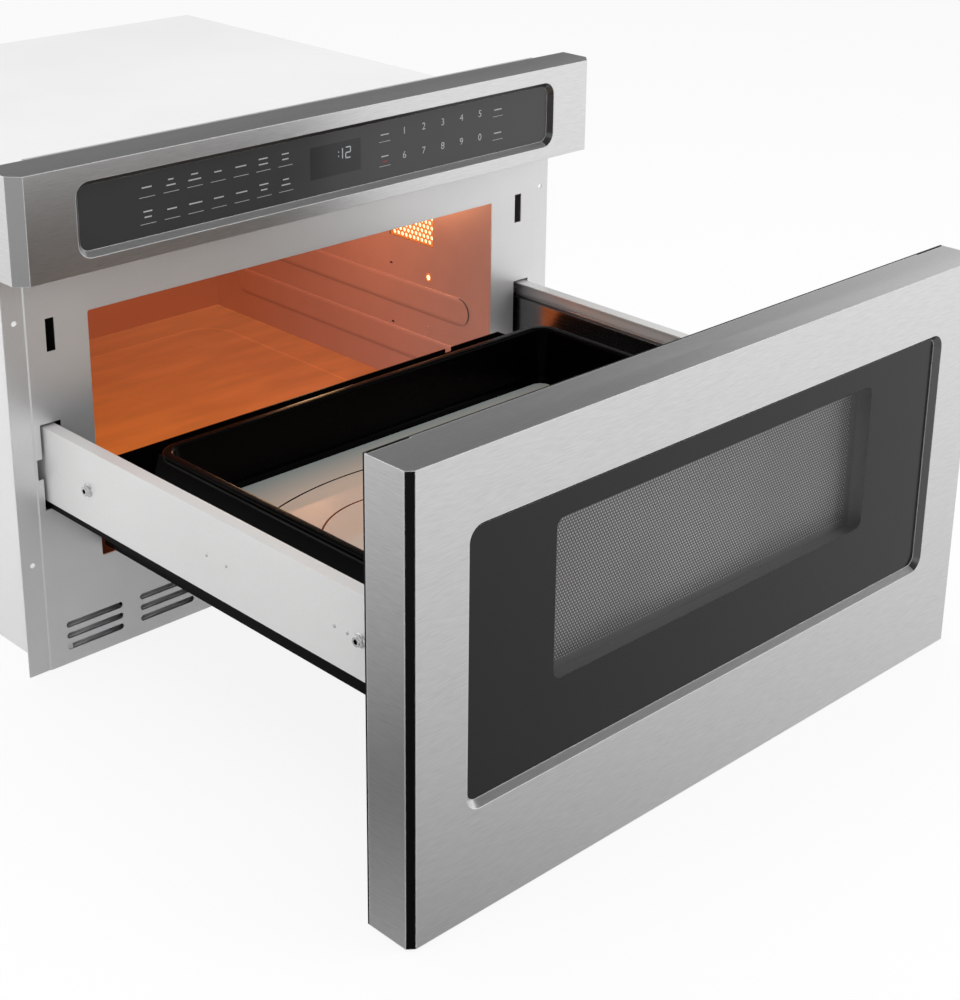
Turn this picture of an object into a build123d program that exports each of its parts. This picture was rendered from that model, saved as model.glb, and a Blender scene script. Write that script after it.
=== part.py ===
from build123d import *
from math import acos, ceil, cos, hypot, pi, radians, sin, tan
import os

# A built-in microwave oven whose whole door pulls out as a drawer, drawn with the drawer open.
# Millimetres, +X to the viewer's right, +Y to the back, +Z up.
# The origin is the centre of the base pan's underside. "Left" is -X.

# Overall sizes
front_width = 606.0
overall_height = 426.0
panel_height = 83.0
reveal = 5.0
travel = 420.0
cavity_depth = 430.0
service_depth = 110.0
front_projection = 45.0
door_bottom = 2.0

# The cavity's mouth, which the case, the tray, the rails and the slides follow
opening_half_width = 219.0
opening_sill = 83.0
opening_header = 42.0
opening_radius = 2.0
case_side = 54.0
case_drop = 42.0
rail_standoff = 46.0

# Sheet gauges and general fits
sheet = 1.0
heavy_sheet = 1.2
running_fit = 0.05
slip_fit = 0.3

# Front frame
frame_drop = 12.0
flange_width = 20.0
flange_step = 1.0
flange_bend_gap = 0.6
mount_hole_radius = 2.25
mount_hole_edge = 10.0
mount_hole_low = 97.0
mount_hole_drop = 114.0
slot_side_fit = 3.0
slot_rack_fit = 1.3
slot_top_fit = 2.0
notch_depth = 4.6
notch_drop = 3.0
notch_height = 17.0
hook_standoff = 34.0
hook_slot_width = 8.0
hook_slot_height = 27.0
hook_slot_rise = 2.0
vent_length = 54.0
vent_height = 5.2
vent_rows = (14.5, 24.5, 34.5)
vent_groups = (-230.0, -158.7, -87.4, 87.4, 158.7, 230.0)

# Case screws, rear cover and cable gland
case_screw_places = (-180.0, 180.0)
case_screw_height = 11.0
case_screw_radius = 1.6
pan_rim = 18.0
rear_vent_length = 70.0
rear_vent_height = 4.0
rear_vent_pitch = 11.0
inlet_x = 215.0
inlet_z = 60.0
inlet_radius = 11.0
inlet_bore = 5.0

# Cavity
cavity_flange = 9.0
rib_depth = 1.5
rib_rises = (93.5, 42.0)
rib_height = 27.0
rib_start = 29.0
rib_end = 40.0
rib_chords = 5
lamp_from_front = 111.0
lamp_drop = 34.0
lamp_window_length = 62.0
lamp_window_height = 56.0
dome_radius = 105.0
dome_height = 22.0
antenna_hole_radius = 12.0
cover_thickness = 1.5
cover_lap = 7.0
grille_hole = 5.4
grille_pitch = 7.6
grille_thickness = 0.8
lamp_lap = 6.0
lamp_box_depth = 42.0
lamp_socket_length = 9.0
lamp_socket_radius = 10.0
bulb_rings = ((0.0, 7.0), (14.0, 11.0), (24.0, 8.0), (27.0, 3.0))
support_x = 150.0
support_half = 24.0

# Drawer front
door_depth = 41.0
door_chamfer_x = 5.2
door_chamfer_y = 4.2
door_rim = 1.5
skin_notch_length = 36.0
skin_notch_depth = 1.2
panel_depth = 39.0
panel_chamfer_x = 9.4
panel_chamfer_y = 10.0
door_window_side = 49.5
door_window_sill = 81.0
door_window_header = 51.0
panel_window_side = 52.0
panel_window_sill = 11.0
panel_window_header = 13.0
window_radius = 12.0
lip_depth = 5.0
lip_slope = 42.0
door_glass_thickness = 4.0
panel_glass_thickness = 3.0
sight_side = 82.5
sight_sill = 63.0
sight_header = 23.0
mesh_setback = 14.0
mesh_thickness = 0.6
pane_lap = 6.0
inner_glass_thickness = 3.0
choke_inner_margin = 9.0
choke_width = 20.0
choke_depth = 22.0
choke_cover_thickness = 1.5
hook_thickness = 4.0
hook_reach = 30.0

# Control panel's inner parts
bracket_slot_pitch = 180.0
bracket_slot_length = 70.0
bracket_slot_height = 30.0
board_thickness = 1.6
display_half = 30.0
display_height = 32.0
display_depth = 7.0
display_rise = 1.5

# Drawer rails and telescopic slides
rail_width = 11.0
rail_bottom = 147.5
rail_height = 63.5
rail_inside_length = 55.0
rail_tab = 24.0
rail_screw_drop = 1.75
rail_screw_places = (-14.0, -330.0)
screw_across = 6.5
screw_flange_radius = 4.4
screw_height = 4.2
screw_shank_radius = 2.0
slide_height = 45.6
slide_length = 460.0
slide_setback = 8.0
slide_thickness = 12.6
track_gauge = 1.2
track_lip_hook = 1.1
track_lip_width = 1.8
bracket_overlap = 6.0
ball_radius = 1.5
ball_pitch = 55.0
balls_per_row = 3
cage_length = 140.0
cage_strip = 0.5

# Rack and pinion
gear_module = 2.0
pinion_teeth = 18
pressure_angle = 20.0
backlash = 0.1
tooth_flank = (0.0, 0.5, 1.0)
rack_width = 7.0
rack_skirt = 1.2
rack_seat = 1.0
pinion_width = 7.6
pinion_side_gap = 0.6
drive_shaft_radius = 3.0
pinion_from_frame = 22.5
gearbox_drop = 28.0
gearbox_length = 56.0
drive_can_radius = 14.0
drive_can_length = 58.0
drive_boss_radius = 6.0
drive_boss_length = 3.0

# Tray
tray_side_gap = 4.0
tray_rim = 200.0
tray_rim_width = 9.0
tray_length = 352.0
tray_wall = 2.0
tray_floor = 150.0
tray_corner = 22.0
tray_corner_chords = 5
tray_draft = 6.0
ceramic_thickness = 4.0
ceramic_margin = 14.0
carrier_inset = 2.0
carrier_sill_gap = 6.0
carrier_back_gap = 16.0
carrier_back_top = 176.0
carrier_runner_reach = 5.0
carrier_runner_height = 48.0
carrier_notch_x = 149.0
carrier_notch_width = 8.0
carrier_notch_depth = 4.0
beam_places = (0.22, 0.78)
beam_half = 18.0
beam_foot = 12.0
beam_end_gap = 43.0

# Stirrer, magnetron and fan
stirrer_y = -55.0
stirrer_radius = 88.0
stirrer_blades = 4
stirrer_blade_width = 34.0
stirrer_shaft_radius = 3.0
stirrer_motor_radius = 24.0
stirrer_motor_height = 18.0
waveguide_width = 84.0
waveguide_height = 36.0
waveguide_left = -45.0
magnetron_case_gap = 148.0
magnetron_size = (86.0, 78.0, 66.0)
magnetron_fins = 6
fan_x = -120.0
fan_z = 205.0
fan_radius = 54.0
fan_hub_radius = 15.0
fan_blades = 7
fan_shaft_radius = 2.5
shroud_half = 66.0
shroud_wall = 1.5
fan_motor_gap = 8.0
fan_motor_length = 26.0

# Parts on the base pan, as places in X and Y and sizes in X, Y and Z
transformer_place = (20.0, 40.0)
transformer_core = (96.0, 56.0, 66.0)
transformer_window = (14.0, 30.0)
transformer_yoke = 16.0
winding_size = (44.0, 84.0, 30.0)
capacitor_place = (20.0, 150.0)
capacitor_size = (104.0, 52.0, 33.0)
capacitor_tab = (6.0, 0.8, 10.0)
board_place = (-10.0, -150.0)
board_size = (160.0, 110.0, 1.6)
board_post_height = 8.0
board_post_inset = 8.0
relay_places = (-50.0, -22.0, 6.0)
relay_size = (20.0, 30.0, 16.0)
board_can_place = (55.0, -20.0)
board_can_radius = 12.0
board_can_height = 24.0

# Places that follow from the sizes above
body_depth = cavity_depth + service_depth
frame_y = -body_depth / 2
rear_y = body_depth / 2
half_front = front_width / 2
half_case = opening_half_width + case_side
case_height = overall_height - case_drop
frame_height = overall_height - frame_drop
flange_half_width = half_case + flange_width
mount_hole_x = flange_half_width - mount_hole_edge
mount_hole_high = frame_height - mount_hole_drop
panel_y = frame_y - front_projection
panel_bottom = overall_height - panel_height
panel_window_half = half_front - panel_window_side
panel_window_bottom = panel_bottom + panel_window_sill
panel_window_top = overall_height - panel_window_header
door_top = panel_bottom - reveal
door_window_half = half_front - door_window_side
door_window_bottom = door_bottom + door_window_sill
door_window_top = door_top - door_window_header
sight_half = door_window_half - sight_side
sight_bottom = door_window_bottom + sight_sill
sight_top = door_window_top - sight_header
opening_bottom = door_bottom + opening_sill
opening_top = door_top - opening_header
door_y = panel_y - travel
door_back = door_y + door_depth
frame_back = frame_y + sheet
cavity_rear = frame_y + cavity_depth
liner_outer = opening_half_width + sheet
liner_bottom = opening_bottom - sheet
liner_top = opening_top + sheet
dome_top = opening_top + dome_height
rail_length = frame_y + rail_inside_length - door_back
rail_outer = opening_half_width + rail_standoff
rail_top = rail_bottom + rail_height
rail_screw_z = (rail_bottom + rail_top) / 2 - rail_screw_drop
rail_web = rail_outer - heavy_sheet
slide_mid = (rail_bottom + rail_top) / 2
slide_closed_front = frame_y + slide_setback
pitch_radius = gear_module * pinion_teeth / 2
rack_pitch_z = rail_bottom - rack_seat - 1.25 * gear_module
rack_tip_z = rack_pitch_z - gear_module
pinion_y = frame_y + pinion_from_frame
pinion_z = rack_pitch_z - pitch_radius
rack_x = rail_outer - rail_width / 2
pinion_outer = rack_x + rack_width / 2 - pinion_side_gap
slot_inner = rail_outer - rail_width - 5
slot_outer = rail_outer + slot_side_fit
slot_bottom = rack_tip_z - slot_rack_fit
slot_top = rail_top + slot_top_fit
notch_bottom = (rail_bottom + rail_top) / 2 - notch_drop - notch_height / 2
hook_slot_x = opening_half_width + hook_standoff
hook_slot_top = opening_top + hook_slot_rise
hook_slot_bottom = hook_slot_top - hook_slot_height
tray_half_width = opening_half_width - tray_side_gap
carrier_side = tray_half_width - carrier_inset
carrier_bottom = opening_bottom + carrier_sill_gap
tray_front = door_back + 1.5
tray_rear = tray_front + tray_length
panel_glass_y = panel_y + lip_depth
panel_glass_back = panel_glass_y + panel_glass_thickness
door_glass_back = door_y + lip_depth + door_glass_thickness
mesh_y = door_glass_back + mesh_setback
lamp_y = frame_y + lamp_from_front
lamp_height = opening_top - lamp_drop
lamp_seat = liner_outer + grille_thickness
display_z = (panel_window_bottom + panel_window_top) / 2 + display_rise
waveguide_right = half_case - magnetron_case_gap
duct_bottom = dome_top + sheet
duct_top = duct_bottom + waveguide_height
fan_front = cavity_rear + sheet + 34
fan_motor_back = rear_y - sheet - fan_motor_gap
fixed_web = rail_web - slide_thickness
middle_web = fixed_web + 2.7
outer_row = fixed_web + 7.4
inner_row = fixed_web + 8.3


def few_sided(radius, sides=12):
    # Small fasteners and round parts that stay hidden have few sides
    return RegularPolygon(radius, sides)


def vent_face(length, height):
    # A vent's outline, with its corners cut
    half, tall, cut = length / 2, height / 2, height * 0.3
    corner = [(half - cut, -tall), (half, -tall + cut), (half, tall - cut), (half - cut, tall)]
    return outline(corner + [(-a, -b) for a, b in corner])


def block(x, y, z):
    # A box from its (low, high) pairs
    size = Box(x[1] - x[0], y[1] - y[0], z[1] - z[0])
    return Pos((x[0] + x[1]) / 2, (y[0] + y[1]) / 2, (z[0] + z[1]) / 2) * size


def outline(points):
    return make_face(Polyline(*points, close=True))


def along_x(face, x0, x1):
    # The face's own axes are Y and Z
    return extrude(Plane.YZ.offset(x0) * face, amount=x1 - x0, dir=(1, 0, 0))


def along_y(face, y0, y1, taper=0.0):
    # The face's own axes are X and Z
    plane = Plane(origin=(0, y0, 0), x_dir=(1, 0, 0), z_dir=(0, -1, 0))
    return extrude(plane * face, amount=y1 - y0, dir=(0, 1, 0), taper=taper)


def along_z(face, z0, z1):
    return extrude(Plane.XY.offset(z0) * face, amount=z1 - z0, dir=(0, 0, 1))


def rod_x(x0, x1, y, z, radius):
    return along_x(Pos(y, z) * Circle(radius), x0, x1)


def rod_y(y0, y1, x, z, radius):
    return along_y(Pos(x, z) * Circle(radius), y0, y1)


def rod_z(z0, z1, x, y, radius):
    return along_z(Pos(x, y) * Circle(radius), z0, z1)


def other_side(shape):
    return mirror(shape, about=Plane.YZ)


def band(points, thickness):
    # The section of a bent sheet: one face's points, and the same face moved to its left
    normals = []
    for (a0, b0), (a1, b1) in zip(points, points[1:]):
        run = hypot(a1 - a0, b1 - b0)
        normals.append(((b0 - b1) / run, (a1 - a0) / run))
    moved = []
    for place, (a, b) in enumerate(points):
        before = normals[max(place - 1, 0)]
        after = normals[min(place, len(normals) - 1)]
        share = thickness / (1 + before[0] * after[0] + before[1] * after[1])
        moved.append((a + (before[0] + after[0]) * share, b + (before[1] + after[1]) * share))
    return outline(list(points) + moved[::-1])


def window(half_width, bottom, top, radius, grow=0.0):
    # A rounded opening in X and Z, grown outwards all round
    width = 2 * (half_width + grow)
    height = top - bottom + 2 * grow
    return Pos(0, (bottom + top) / 2) * RectangleRounded(width, height, radius + grow)


def chorded(width, height, radius, chords=3):
    # A rounded rectangle for sheet work behind the front, with each corner bent in a few chords
    points = []
    for quarter, (across, up) in enumerate(((1, 1), (-1, 1), (-1, -1), (1, -1))):
        for step in range(chords + 1):
            angle = (quarter + step / chords) * pi / 2
            point = (round(across * (width / 2 - radius) + radius * cos(angle), 6),
                     round(up * (height / 2 - radius) + radius * sin(angle), 6))
            if point not in points:
                points.append(point)
    return outline(points)


def chorded_window(half_width, bottom, top, radius, grow=0.0):
    # The same opening as window() gives, with chorded corners
    face = chorded(2 * (half_width + grow), top - bottom + 2 * grow, radius + grow)
    return Pos(0, (bottom + top) / 2) * face


def formed_front(y_front, bottom, top, depth, chamfer_x, chamfer_y, opening):
    # A folded steel front: four returns, chamfered upright edges and a sloping lip round its window
    plan = [
        (-half_front, y_front + depth),
        (-half_front, y_front + chamfer_y),
        (-half_front + chamfer_x, y_front),
        (half_front - chamfer_x, y_front),
        (half_front, y_front + chamfer_y),
        (half_front, y_front + depth),
    ]
    skin = along_z(band(plan, sheet), bottom, top)
    for low, high in ((bottom, bottom + sheet), (top - sheet, top)):
        skin += along_z(outline(plan), low, high)
    skin -= along_y(window(*opening), y_front - sheet, y_front + 2 * sheet)
    lip = along_y(window(*opening, grow=sheet), y_front, y_front + lip_depth, lip_slope)
    lip -= along_y(window(*opening), y_front, y_front + lip_depth, lip_slope)
    return skin + lip


# Fixed body: frame, case and covers

def front_frame():
    step_y = frame_y + flange_step
    bend = half_case + flange_bend_gap
    face = [
        (-flange_half_width, step_y),
        (-bend - flange_step, step_y),
        (-bend, frame_y),
        (bend, frame_y),
        (bend + flange_step, step_y),
        (flange_half_width, step_y),
    ]
    plate = along_z(band(face, sheet), 0, frame_height)
    reach = (frame_y - sheet, frame_back + flange_step + sheet)
    plate -= along_y(window(opening_half_width, opening_bottom, opening_top, opening_radius), *reach)
    for side in (-1, 1):
        for z in (mount_hole_low, mount_hole_high):
            plate -= rod_y(*reach, side * mount_hole_x, z, mount_hole_radius)
        slot_x = sorted((side * slot_inner, side * slot_outer))
        plate -= block(slot_x, reach, (slot_bottom, slot_top))
        notch_x = sorted((side * (slot_outer - sheet), side * (slot_outer + notch_depth)))
        plate -= block(notch_x, reach, (notch_bottom, notch_bottom + notch_height))
        hook_place = Pos(side * hook_slot_x, (hook_slot_bottom + hook_slot_top) / 2)
        plate -= along_y(hook_place * Rectangle(hook_slot_width, hook_slot_height), *reach)
    for x in vent_groups:
        for z in vent_rows:
            plate -= along_y(Pos(x, z) * vent_face(vent_length, vent_height), *reach)
    return plate


def case_screw_holes(shape, depth):
    for y in case_screw_places:
        for side in (-1, 1):
            x = sorted((side * (half_case + 1), side * (half_case - depth)))
            hole = Pos(y, case_screw_height) * few_sided(case_screw_radius + running_fit)
            shape -= along_x(hole, *x)
    return shape


def outer_case():
    path = [(half_case, 0), (half_case, case_height), (-half_case, case_height), (-half_case, 0)]
    return case_screw_holes(along_y(band(path, sheet), frame_back, rear_y - sheet), 2)


def base_pan():
    half = half_case - sheet
    outside = block((-half, half), (frame_back, rear_y - sheet), (0, pan_rim))
    inside = block(
        (-half + heavy_sheet, half - heavy_sheet),
        (frame_back + heavy_sheet, rear_y - sheet - heavy_sheet),
        (heavy_sheet, pan_rim + 1),
    )
    front_gap = block((-half + 20, half - 20), (frame_back - 1, frame_back + 2), (8, pan_rim + 1))
    return case_screw_holes(outside - inside - front_gap, 4)


def rear_cover():
    plate = block((-half_case, half_case), (rear_y - sheet, rear_y), (0, case_height))
    reach = (rear_y - 2 * sheet, rear_y + sheet)
    rows = int(1.6 * fan_radius / rear_vent_pitch)
    for row in range(rows):
        z = fan_z + (row - (rows - 1) / 2) * rear_vent_pitch
        plate -= along_y(Pos(fan_x, z) * vent_face(rear_vent_length, rear_vent_height), *reach)
    return plate - along_y(Pos(inlet_x, inlet_z) * few_sided(inlet_radius, 24), *reach)


def power_inlet():
    # A cable gland with no cable: a flanged bush through the rear cover
    place = Pos(inlet_x, inlet_z)
    bush = along_y(place * few_sided(inlet_radius - running_fit, 24), rear_y - 10, rear_y)
    bush += along_y(place * few_sided(inlet_radius + 3, 24), rear_y - sheet - 3, rear_y - sheet)
    return bush - rod_y(rear_y - 11, rear_y + 1, inlet_x, inlet_z, inlet_bore)


def hex_screw(across, flange_radius, height, shank_radius, shank):
    # A flanged hexagon screw: the shank runs along +X from the seat at X = 0, the head along -X
    head = along_x(RegularPolygon(across / 2, 6, major_radius=False), -height, -height / 3)
    flange = along_x(few_sided(flange_radius), -height / 3, 0)
    return head + flange + along_x(few_sided(shank_radius), 0, shank)


def case_screws():
    # Screws that hold the case's two sides to the base pan
    screws = []
    for side in (-1, 1):
        for y in case_screw_places:
            screw = hex_screw(5.5, 3.6, 2.4, case_screw_radius, sheet + heavy_sheet + 2)
            screw = Pos(-half_case, y, case_screw_height) * screw
            screws.append(screw if side < 0 else other_side(screw))
    return Compound(children=screws)


# Control panel

def panel_window():
    return (panel_window_half, panel_window_bottom, panel_window_top, window_radius)


def control_fascia():
    return formed_front(panel_y, panel_bottom, overall_height, panel_depth, panel_chamfer_x,
                        panel_chamfer_y, panel_window())


def control_glass():
    half, bottom, top, radius = panel_window()
    return along_y(window(half - 1, bottom + 1, top - 1, radius), panel_glass_y, panel_glass_back)


def display_module():
    height = (display_z - display_height / 2, display_z + display_height / 2)
    return block((-display_half, display_half), (panel_glass_back, panel_glass_back + display_depth), height)


def touch_board():
    # The circuit board behind the glass, cut away round the display
    half, bottom, top, radius = panel_window()
    board = along_y(window(half - 4, bottom + 4, top - 4, 4), panel_glass_back,
                    panel_glass_back + board_thickness)
    gap = display_half + 1
    tall = display_height / 2 + 1
    return board - block((-gap, gap), (panel_glass_back - 1, panel_glass_back + board_thickness + 1),
                         (display_z - tall, display_z + tall))


def panel_bracket():
    # A channel on the front frame, whose two flanges carry the fascia's top and bottom returns
    low = panel_bottom + sheet
    high = overall_height - sheet
    nose = panel_glass_back + 4
    path = [(nose, low), (frame_y, low), (frame_y, high), (nose, high)]
    channel = along_x(band(path, heavy_sheet), -half_case + 6, half_case - 6)
    middle = (low + high) / 2
    for x in (-bracket_slot_pitch, 0.0, bracket_slot_pitch):
        slot = Pos(x, middle) * vent_face(bracket_slot_length, bracket_slot_height)
        channel -= along_y(slot, frame_y - 3, frame_y + 1)
    return channel


# Cavity and what feeds it

def rib_face(centre, grow):
    start = frame_y + rib_start
    end = cavity_rear - rib_end
    height = rib_height + 2 * grow
    return Pos((start + end) / 2, centre) * chorded(end - start + 2 * grow, height, height / 2, rib_chords)


def cavity_liner():
    front = frame_back
    outside = block((-liner_outer, liner_outer), (front, cavity_rear + sheet), (liner_bottom, liner_top))
    dome_place = Pos(0, stirrer_y)
    outside += along_z(dome_place * few_sided(dome_radius + sheet, 24), opening_top, dome_top + sheet)
    inside = block((-opening_half_width, opening_half_width), (front - 1, cavity_rear),
                   (opening_bottom, opening_top))
    inside += along_z(dome_place * few_sided(dome_radius, 24), opening_top - 1, dome_top)
    liner = outside - inside
    for centre in (opening_bottom + rise for rise in rib_rises):
        for side in (-1, 1):
            wall = side * opening_half_width
            rise = sorted((wall, wall - side * rib_depth))
            hollow = sorted((side * (liner_outer + 1), wall - side * (rib_depth - sheet)))
            liner += along_x(rib_face(centre, 0), *rise)
            liner -= along_x(rib_face(centre, -sheet), *hollow)
    mouth = (opening_half_width, opening_bottom, opening_top)
    flange = along_y(chorded_window(*mouth, 6, cavity_flange), front, front + sheet)
    flange -= block((-opening_half_width, opening_half_width), (front - 1, front + 2), mouth[1:])
    liner += flange
    liner -= along_z(dome_place * few_sided(antenna_hole_radius), dome_top - 1, dome_top + 2)
    liner -= block(
        (opening_half_width - 1, liner_outer + 1),
        (lamp_y - lamp_window_length / 2, lamp_y + lamp_window_length / 2),
        (lamp_height - lamp_window_height / 2, lamp_height + lamp_window_height / 2),
    )
    return liner


def lamp_grille():
    # A perforated plate over the lamp window, on the outside of the cavity's right wall
    plate = along_x(
        Pos(lamp_y, lamp_height)
        * chorded(lamp_window_length + 2 * lamp_lap, lamp_window_height + 2 * lamp_lap, 4),
        liner_outer, lamp_seat,
    )
    row_pitch = grille_pitch * cos(pi / 6)
    rows = int(lamp_window_height / row_pitch) - 1
    columns = int(lamp_window_length / grille_pitch) - 1
    holes = Sketch()
    for row in range(rows):
        for column in range(columns):
            y = lamp_y + (column - (columns - 1) / 2 + (row % 2) / 2 - 0.25) * grille_pitch
            z = lamp_height + (row - (rows - 1) / 2) * row_pitch
            holes += Pos(y, z) * RegularPolygon(grille_hole / 2, 6, rotation=30)
    return plate - along_x(holes, liner_outer - 1, liner_outer + 2)


def lamp_housing():
    # A folded cup with a rim, screwed over the grille
    seat = lamp_seat
    half_y = lamp_window_length / 2
    half_z = lamp_window_height / 2
    cup = block((seat, seat + lamp_box_depth), (lamp_y - half_y, lamp_y + half_y),
                (lamp_height - half_z, lamp_height + half_z))
    inner_y = (lamp_y - half_y + sheet, lamp_y + half_y - sheet)
    inner_z = (lamp_height - half_z + sheet, lamp_height + half_z - sheet)
    cup -= block((seat - 1, seat + lamp_box_depth - sheet), inner_y, inner_z)
    rim = block((seat, seat + sheet), (lamp_y - half_y - 5, lamp_y + half_y + 5),
                (lamp_height - half_z, lamp_height + half_z))
    return cup + rim - block((seat - 1, seat + 2), inner_y, inner_z)


def lamp_socket():
    back = lamp_seat + lamp_box_depth - sheet
    return along_x(Pos(lamp_y, lamp_height) * few_sided(lamp_socket_radius), back - lamp_socket_length, back)


def cavity_lamp():
    # A small pear-shaped bulb that points at the grille
    back = lamp_seat + lamp_box_depth - sheet - lamp_socket_length
    bulb = Part()
    for (low, narrow), (high, wide) in zip(bulb_rings, bulb_rings[1:]):
        bulb += loft([Pos(0, 0, low) * few_sided(narrow), Pos(0, 0, high) * few_sided(wide)], ruled=True)
    return Pos(back, lamp_y, lamp_height) * Rot(0, -90, 0) * bulb


def stirrer_cover():
    # A round plate that closes the recess in the ceiling
    face = Pos(0, stirrer_y) * few_sided(dome_radius + cover_lap, 24)
    return along_z(face, opening_top - cover_thickness, opening_top)


def stirrer():
    # Bent blades on a hub, with a shaft that rises through the feed duct into its motor
    low = opening_top + 4
    hub = along_z(Pos(0, stirrer_y) * few_sided(9), low, low + 10)
    shape = hub + rod_z(low + 9, duct_top + 13, 0, stirrer_y, stirrer_shaft_radius)
    for turn in range(stirrer_blades):
        flat = Pos(stirrer_radius / 2, 0, 0) * Box(stirrer_radius - 8, stirrer_blade_width, 1)
        wing = Pos(0, stirrer_blade_width / 2 - 0.3, 0) * Rot(35, 0, 0) * Pos(stirrer_radius * 0.6, 6, 0)
        flat += wing * Box(stirrer_radius * 0.7, 12, 1)
        angle = turn * 360 / stirrer_blades
        shape += Pos(0, stirrer_y, low + 3) * Rot(0, 0, angle) * flat
    return shape


def waveguide():
    # A rectangular duct from the magnetron to the recess in the ceiling
    half = waveguide_width / 2
    duct = block((waveguide_left, waveguide_right), (stirrer_y - half, stirrer_y + half),
                 (duct_bottom, duct_top))
    duct -= block((waveguide_left + sheet, waveguide_right + 1),
                  (stirrer_y - half + sheet, stirrer_y + half - sheet),
                  (duct_bottom + sheet, duct_top - sheet))
    duct -= along_z(Pos(0, stirrer_y) * few_sided(antenna_hole_radius), duct_bottom - 1, duct_bottom + 2)
    return duct - rod_z(duct_top - 2, duct_top + 1, 0, stirrer_y, stirrer_shaft_radius + 1.2)


def stirrer_motor():
    centre = Pos(0, stirrer_y)
    can = along_z(centre * few_sided(stirrer_motor_radius, 24), duct_top, duct_top + stirrer_motor_height)
    can += along_z(centre * chorded(2 * stirrer_motor_radius + 22, 14, 7), duct_top, duct_top + 1.5)
    bore = stirrer_shaft_radius + running_fit
    return can - rod_z(duct_top - 1, duct_top + 13.5, 0, stirrer_y, bore)


def magnetron():
    # A yoke with stacked cooling fins round a core, and the antenna that reaches into the duct
    length, width, height = magnetron_size
    low = duct_bottom - 4
    seat = waveguide_right
    middle = low + height / 2
    y = (stirrer_y - width / 2, stirrer_y + width / 2)
    body = block((seat, seat + 3), y, (low, low + height))
    body += block((seat + length - 3, seat + length), y, (low, low + height))
    body += block((seat, seat + length), (y[0], y[0] + 2), (low, low + height))
    body += along_x(Pos(stirrer_y, middle) * RegularPolygon(18, 8), seat + 1, seat + length - 1)
    for fin in range(magnetron_fins):
        x = seat + 12 + fin * (length - 24) / (magnetron_fins - 1)
        body += block((x, x + 1.2), (y[0] + 1, y[1]), (low + 5, low + height - 5))
    antenna_z = (duct_bottom + duct_top) / 2
    return body + along_x(Pos(stirrer_y, antenna_z) * few_sided(8), seat - 26, seat + 2)


# Parts behind and below the cavity

def fan_shroud():
    # A square duct on the rear cover, with a round throat for the fan
    x = (fan_x - shroud_half, fan_x + shroud_half)
    z = (fan_z - shroud_half, fan_z + shroud_half)
    duct = block(x, (fan_front, rear_y - sheet), z)
    wall = shroud_wall
    duct -= block((x[0] + wall, x[1] - wall), (fan_front + wall, rear_y), (z[0] + wall, z[1] - wall))
    return duct - along_y(Pos(fan_x, fan_z) * few_sided(fan_radius + 3, 24), fan_front - 1, fan_front + 3)


def fan_motor():
    # A can on a cross of flat arms that reach the duct's walls
    back = fan_motor_back
    can = along_y(Pos(fan_x, fan_z) * few_sided(21, 24), back - fan_motor_length, back)
    reach = shroud_half - shroud_wall
    arms = block((fan_x - reach, fan_x + reach), (back - 3, back), (fan_z - 6, fan_z + 6))
    arms += block((fan_x - 6, fan_x + 6), (back - 3, back), (fan_z - reach, fan_z + reach))
    return can + arms - rod_y(back - fan_motor_length - 1, back - 8, fan_x, fan_z,
                              fan_shaft_radius + running_fit)


def fan_impeller():
    back = fan_motor_back
    tip = back - fan_motor_length - 1
    front = fan_front + 2
    shape = along_y(Pos(fan_x, fan_z) * few_sided(fan_hub_radius, 14), front, tip)
    shape += rod_y(tip - 2, back - 9, fan_x, fan_z, fan_shaft_radius)
    chord = tip - front
    for turn in range(fan_blades):
        blade = Pos(fan_radius / 2 + 5, 0, 0) * Rot(38, 0, 0) * Box(fan_radius - 10, chord * 1.2, 1.4)
        turned = Rot(0, turn * 360 / fan_blades, 0) * blade
        shape += Pos(fan_x, (front + tip) / 2, fan_z) * turned
    return shape & along_y(Pos(fan_x, fan_z) * few_sided(fan_radius, 28), front, back)


def hat_section(centre, half, foot, low, high):
    # A folded channel standing on two feet
    left, right = centre - half, centre + half
    top = high - sheet
    path = [(left - foot, low), (left, low), (left, top), (right, top), (right, low), (right + foot, low)]
    return band(path, sheet)


def cavity_supports():
    # Two folded stands between the base pan and the cavity's floor
    stands = []
    for x in (-support_x, support_x):
        section = hat_section(x, support_half, 12, heavy_sheet, liner_bottom)
        stands.append(along_y(section, frame_back + 40, cavity_rear - 30))
    return Compound(children=stands)


def standing(place, size, low, shift=(0.0, 0.0)):
    # A box that stands at low, centred on its place in X and Y
    x, y = place[0] + shift[0], place[1] + shift[1]
    return Pos(x, y, low + size[2] / 2) * Box(*size)


def power_transformer():
    # A laminated core with its winding, on the base pan
    low = heavy_sheet
    width, depth, height = transformer_core
    near, far = transformer_window
    core = standing(transformer_place, transformer_core, low)
    hole = (far - near, depth + 2, height - 2 * transformer_yoke)
    for side in (-1, 1):
        core -= standing(transformer_place, hole, low + transformer_yoke, (side * (near + far) / 2, 0))
    leg = (2 * near, depth, winding_size[2] + 2)
    base = low + (height - winding_size[2]) / 2
    winding = along_z(Pos(*transformer_place) * chorded(winding_size[0], winding_size[1], 10),
                      base, base + winding_size[2])
    return Compound(children=[core, winding - standing(transformer_place, leg, base - 1)])


def capacitor():
    length, width, height = capacitor_size
    can = along_z(Pos(*capacitor_place) * chorded(length, width, width / 2, 6), heavy_sheet,
                  heavy_sheet + height)
    for side in (-1, 1):
        shift = (side * 2 * capacitor_tab[0], 0)
        can += standing(capacitor_place, capacitor_tab, heavy_sheet + height, shift)
    return can


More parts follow.
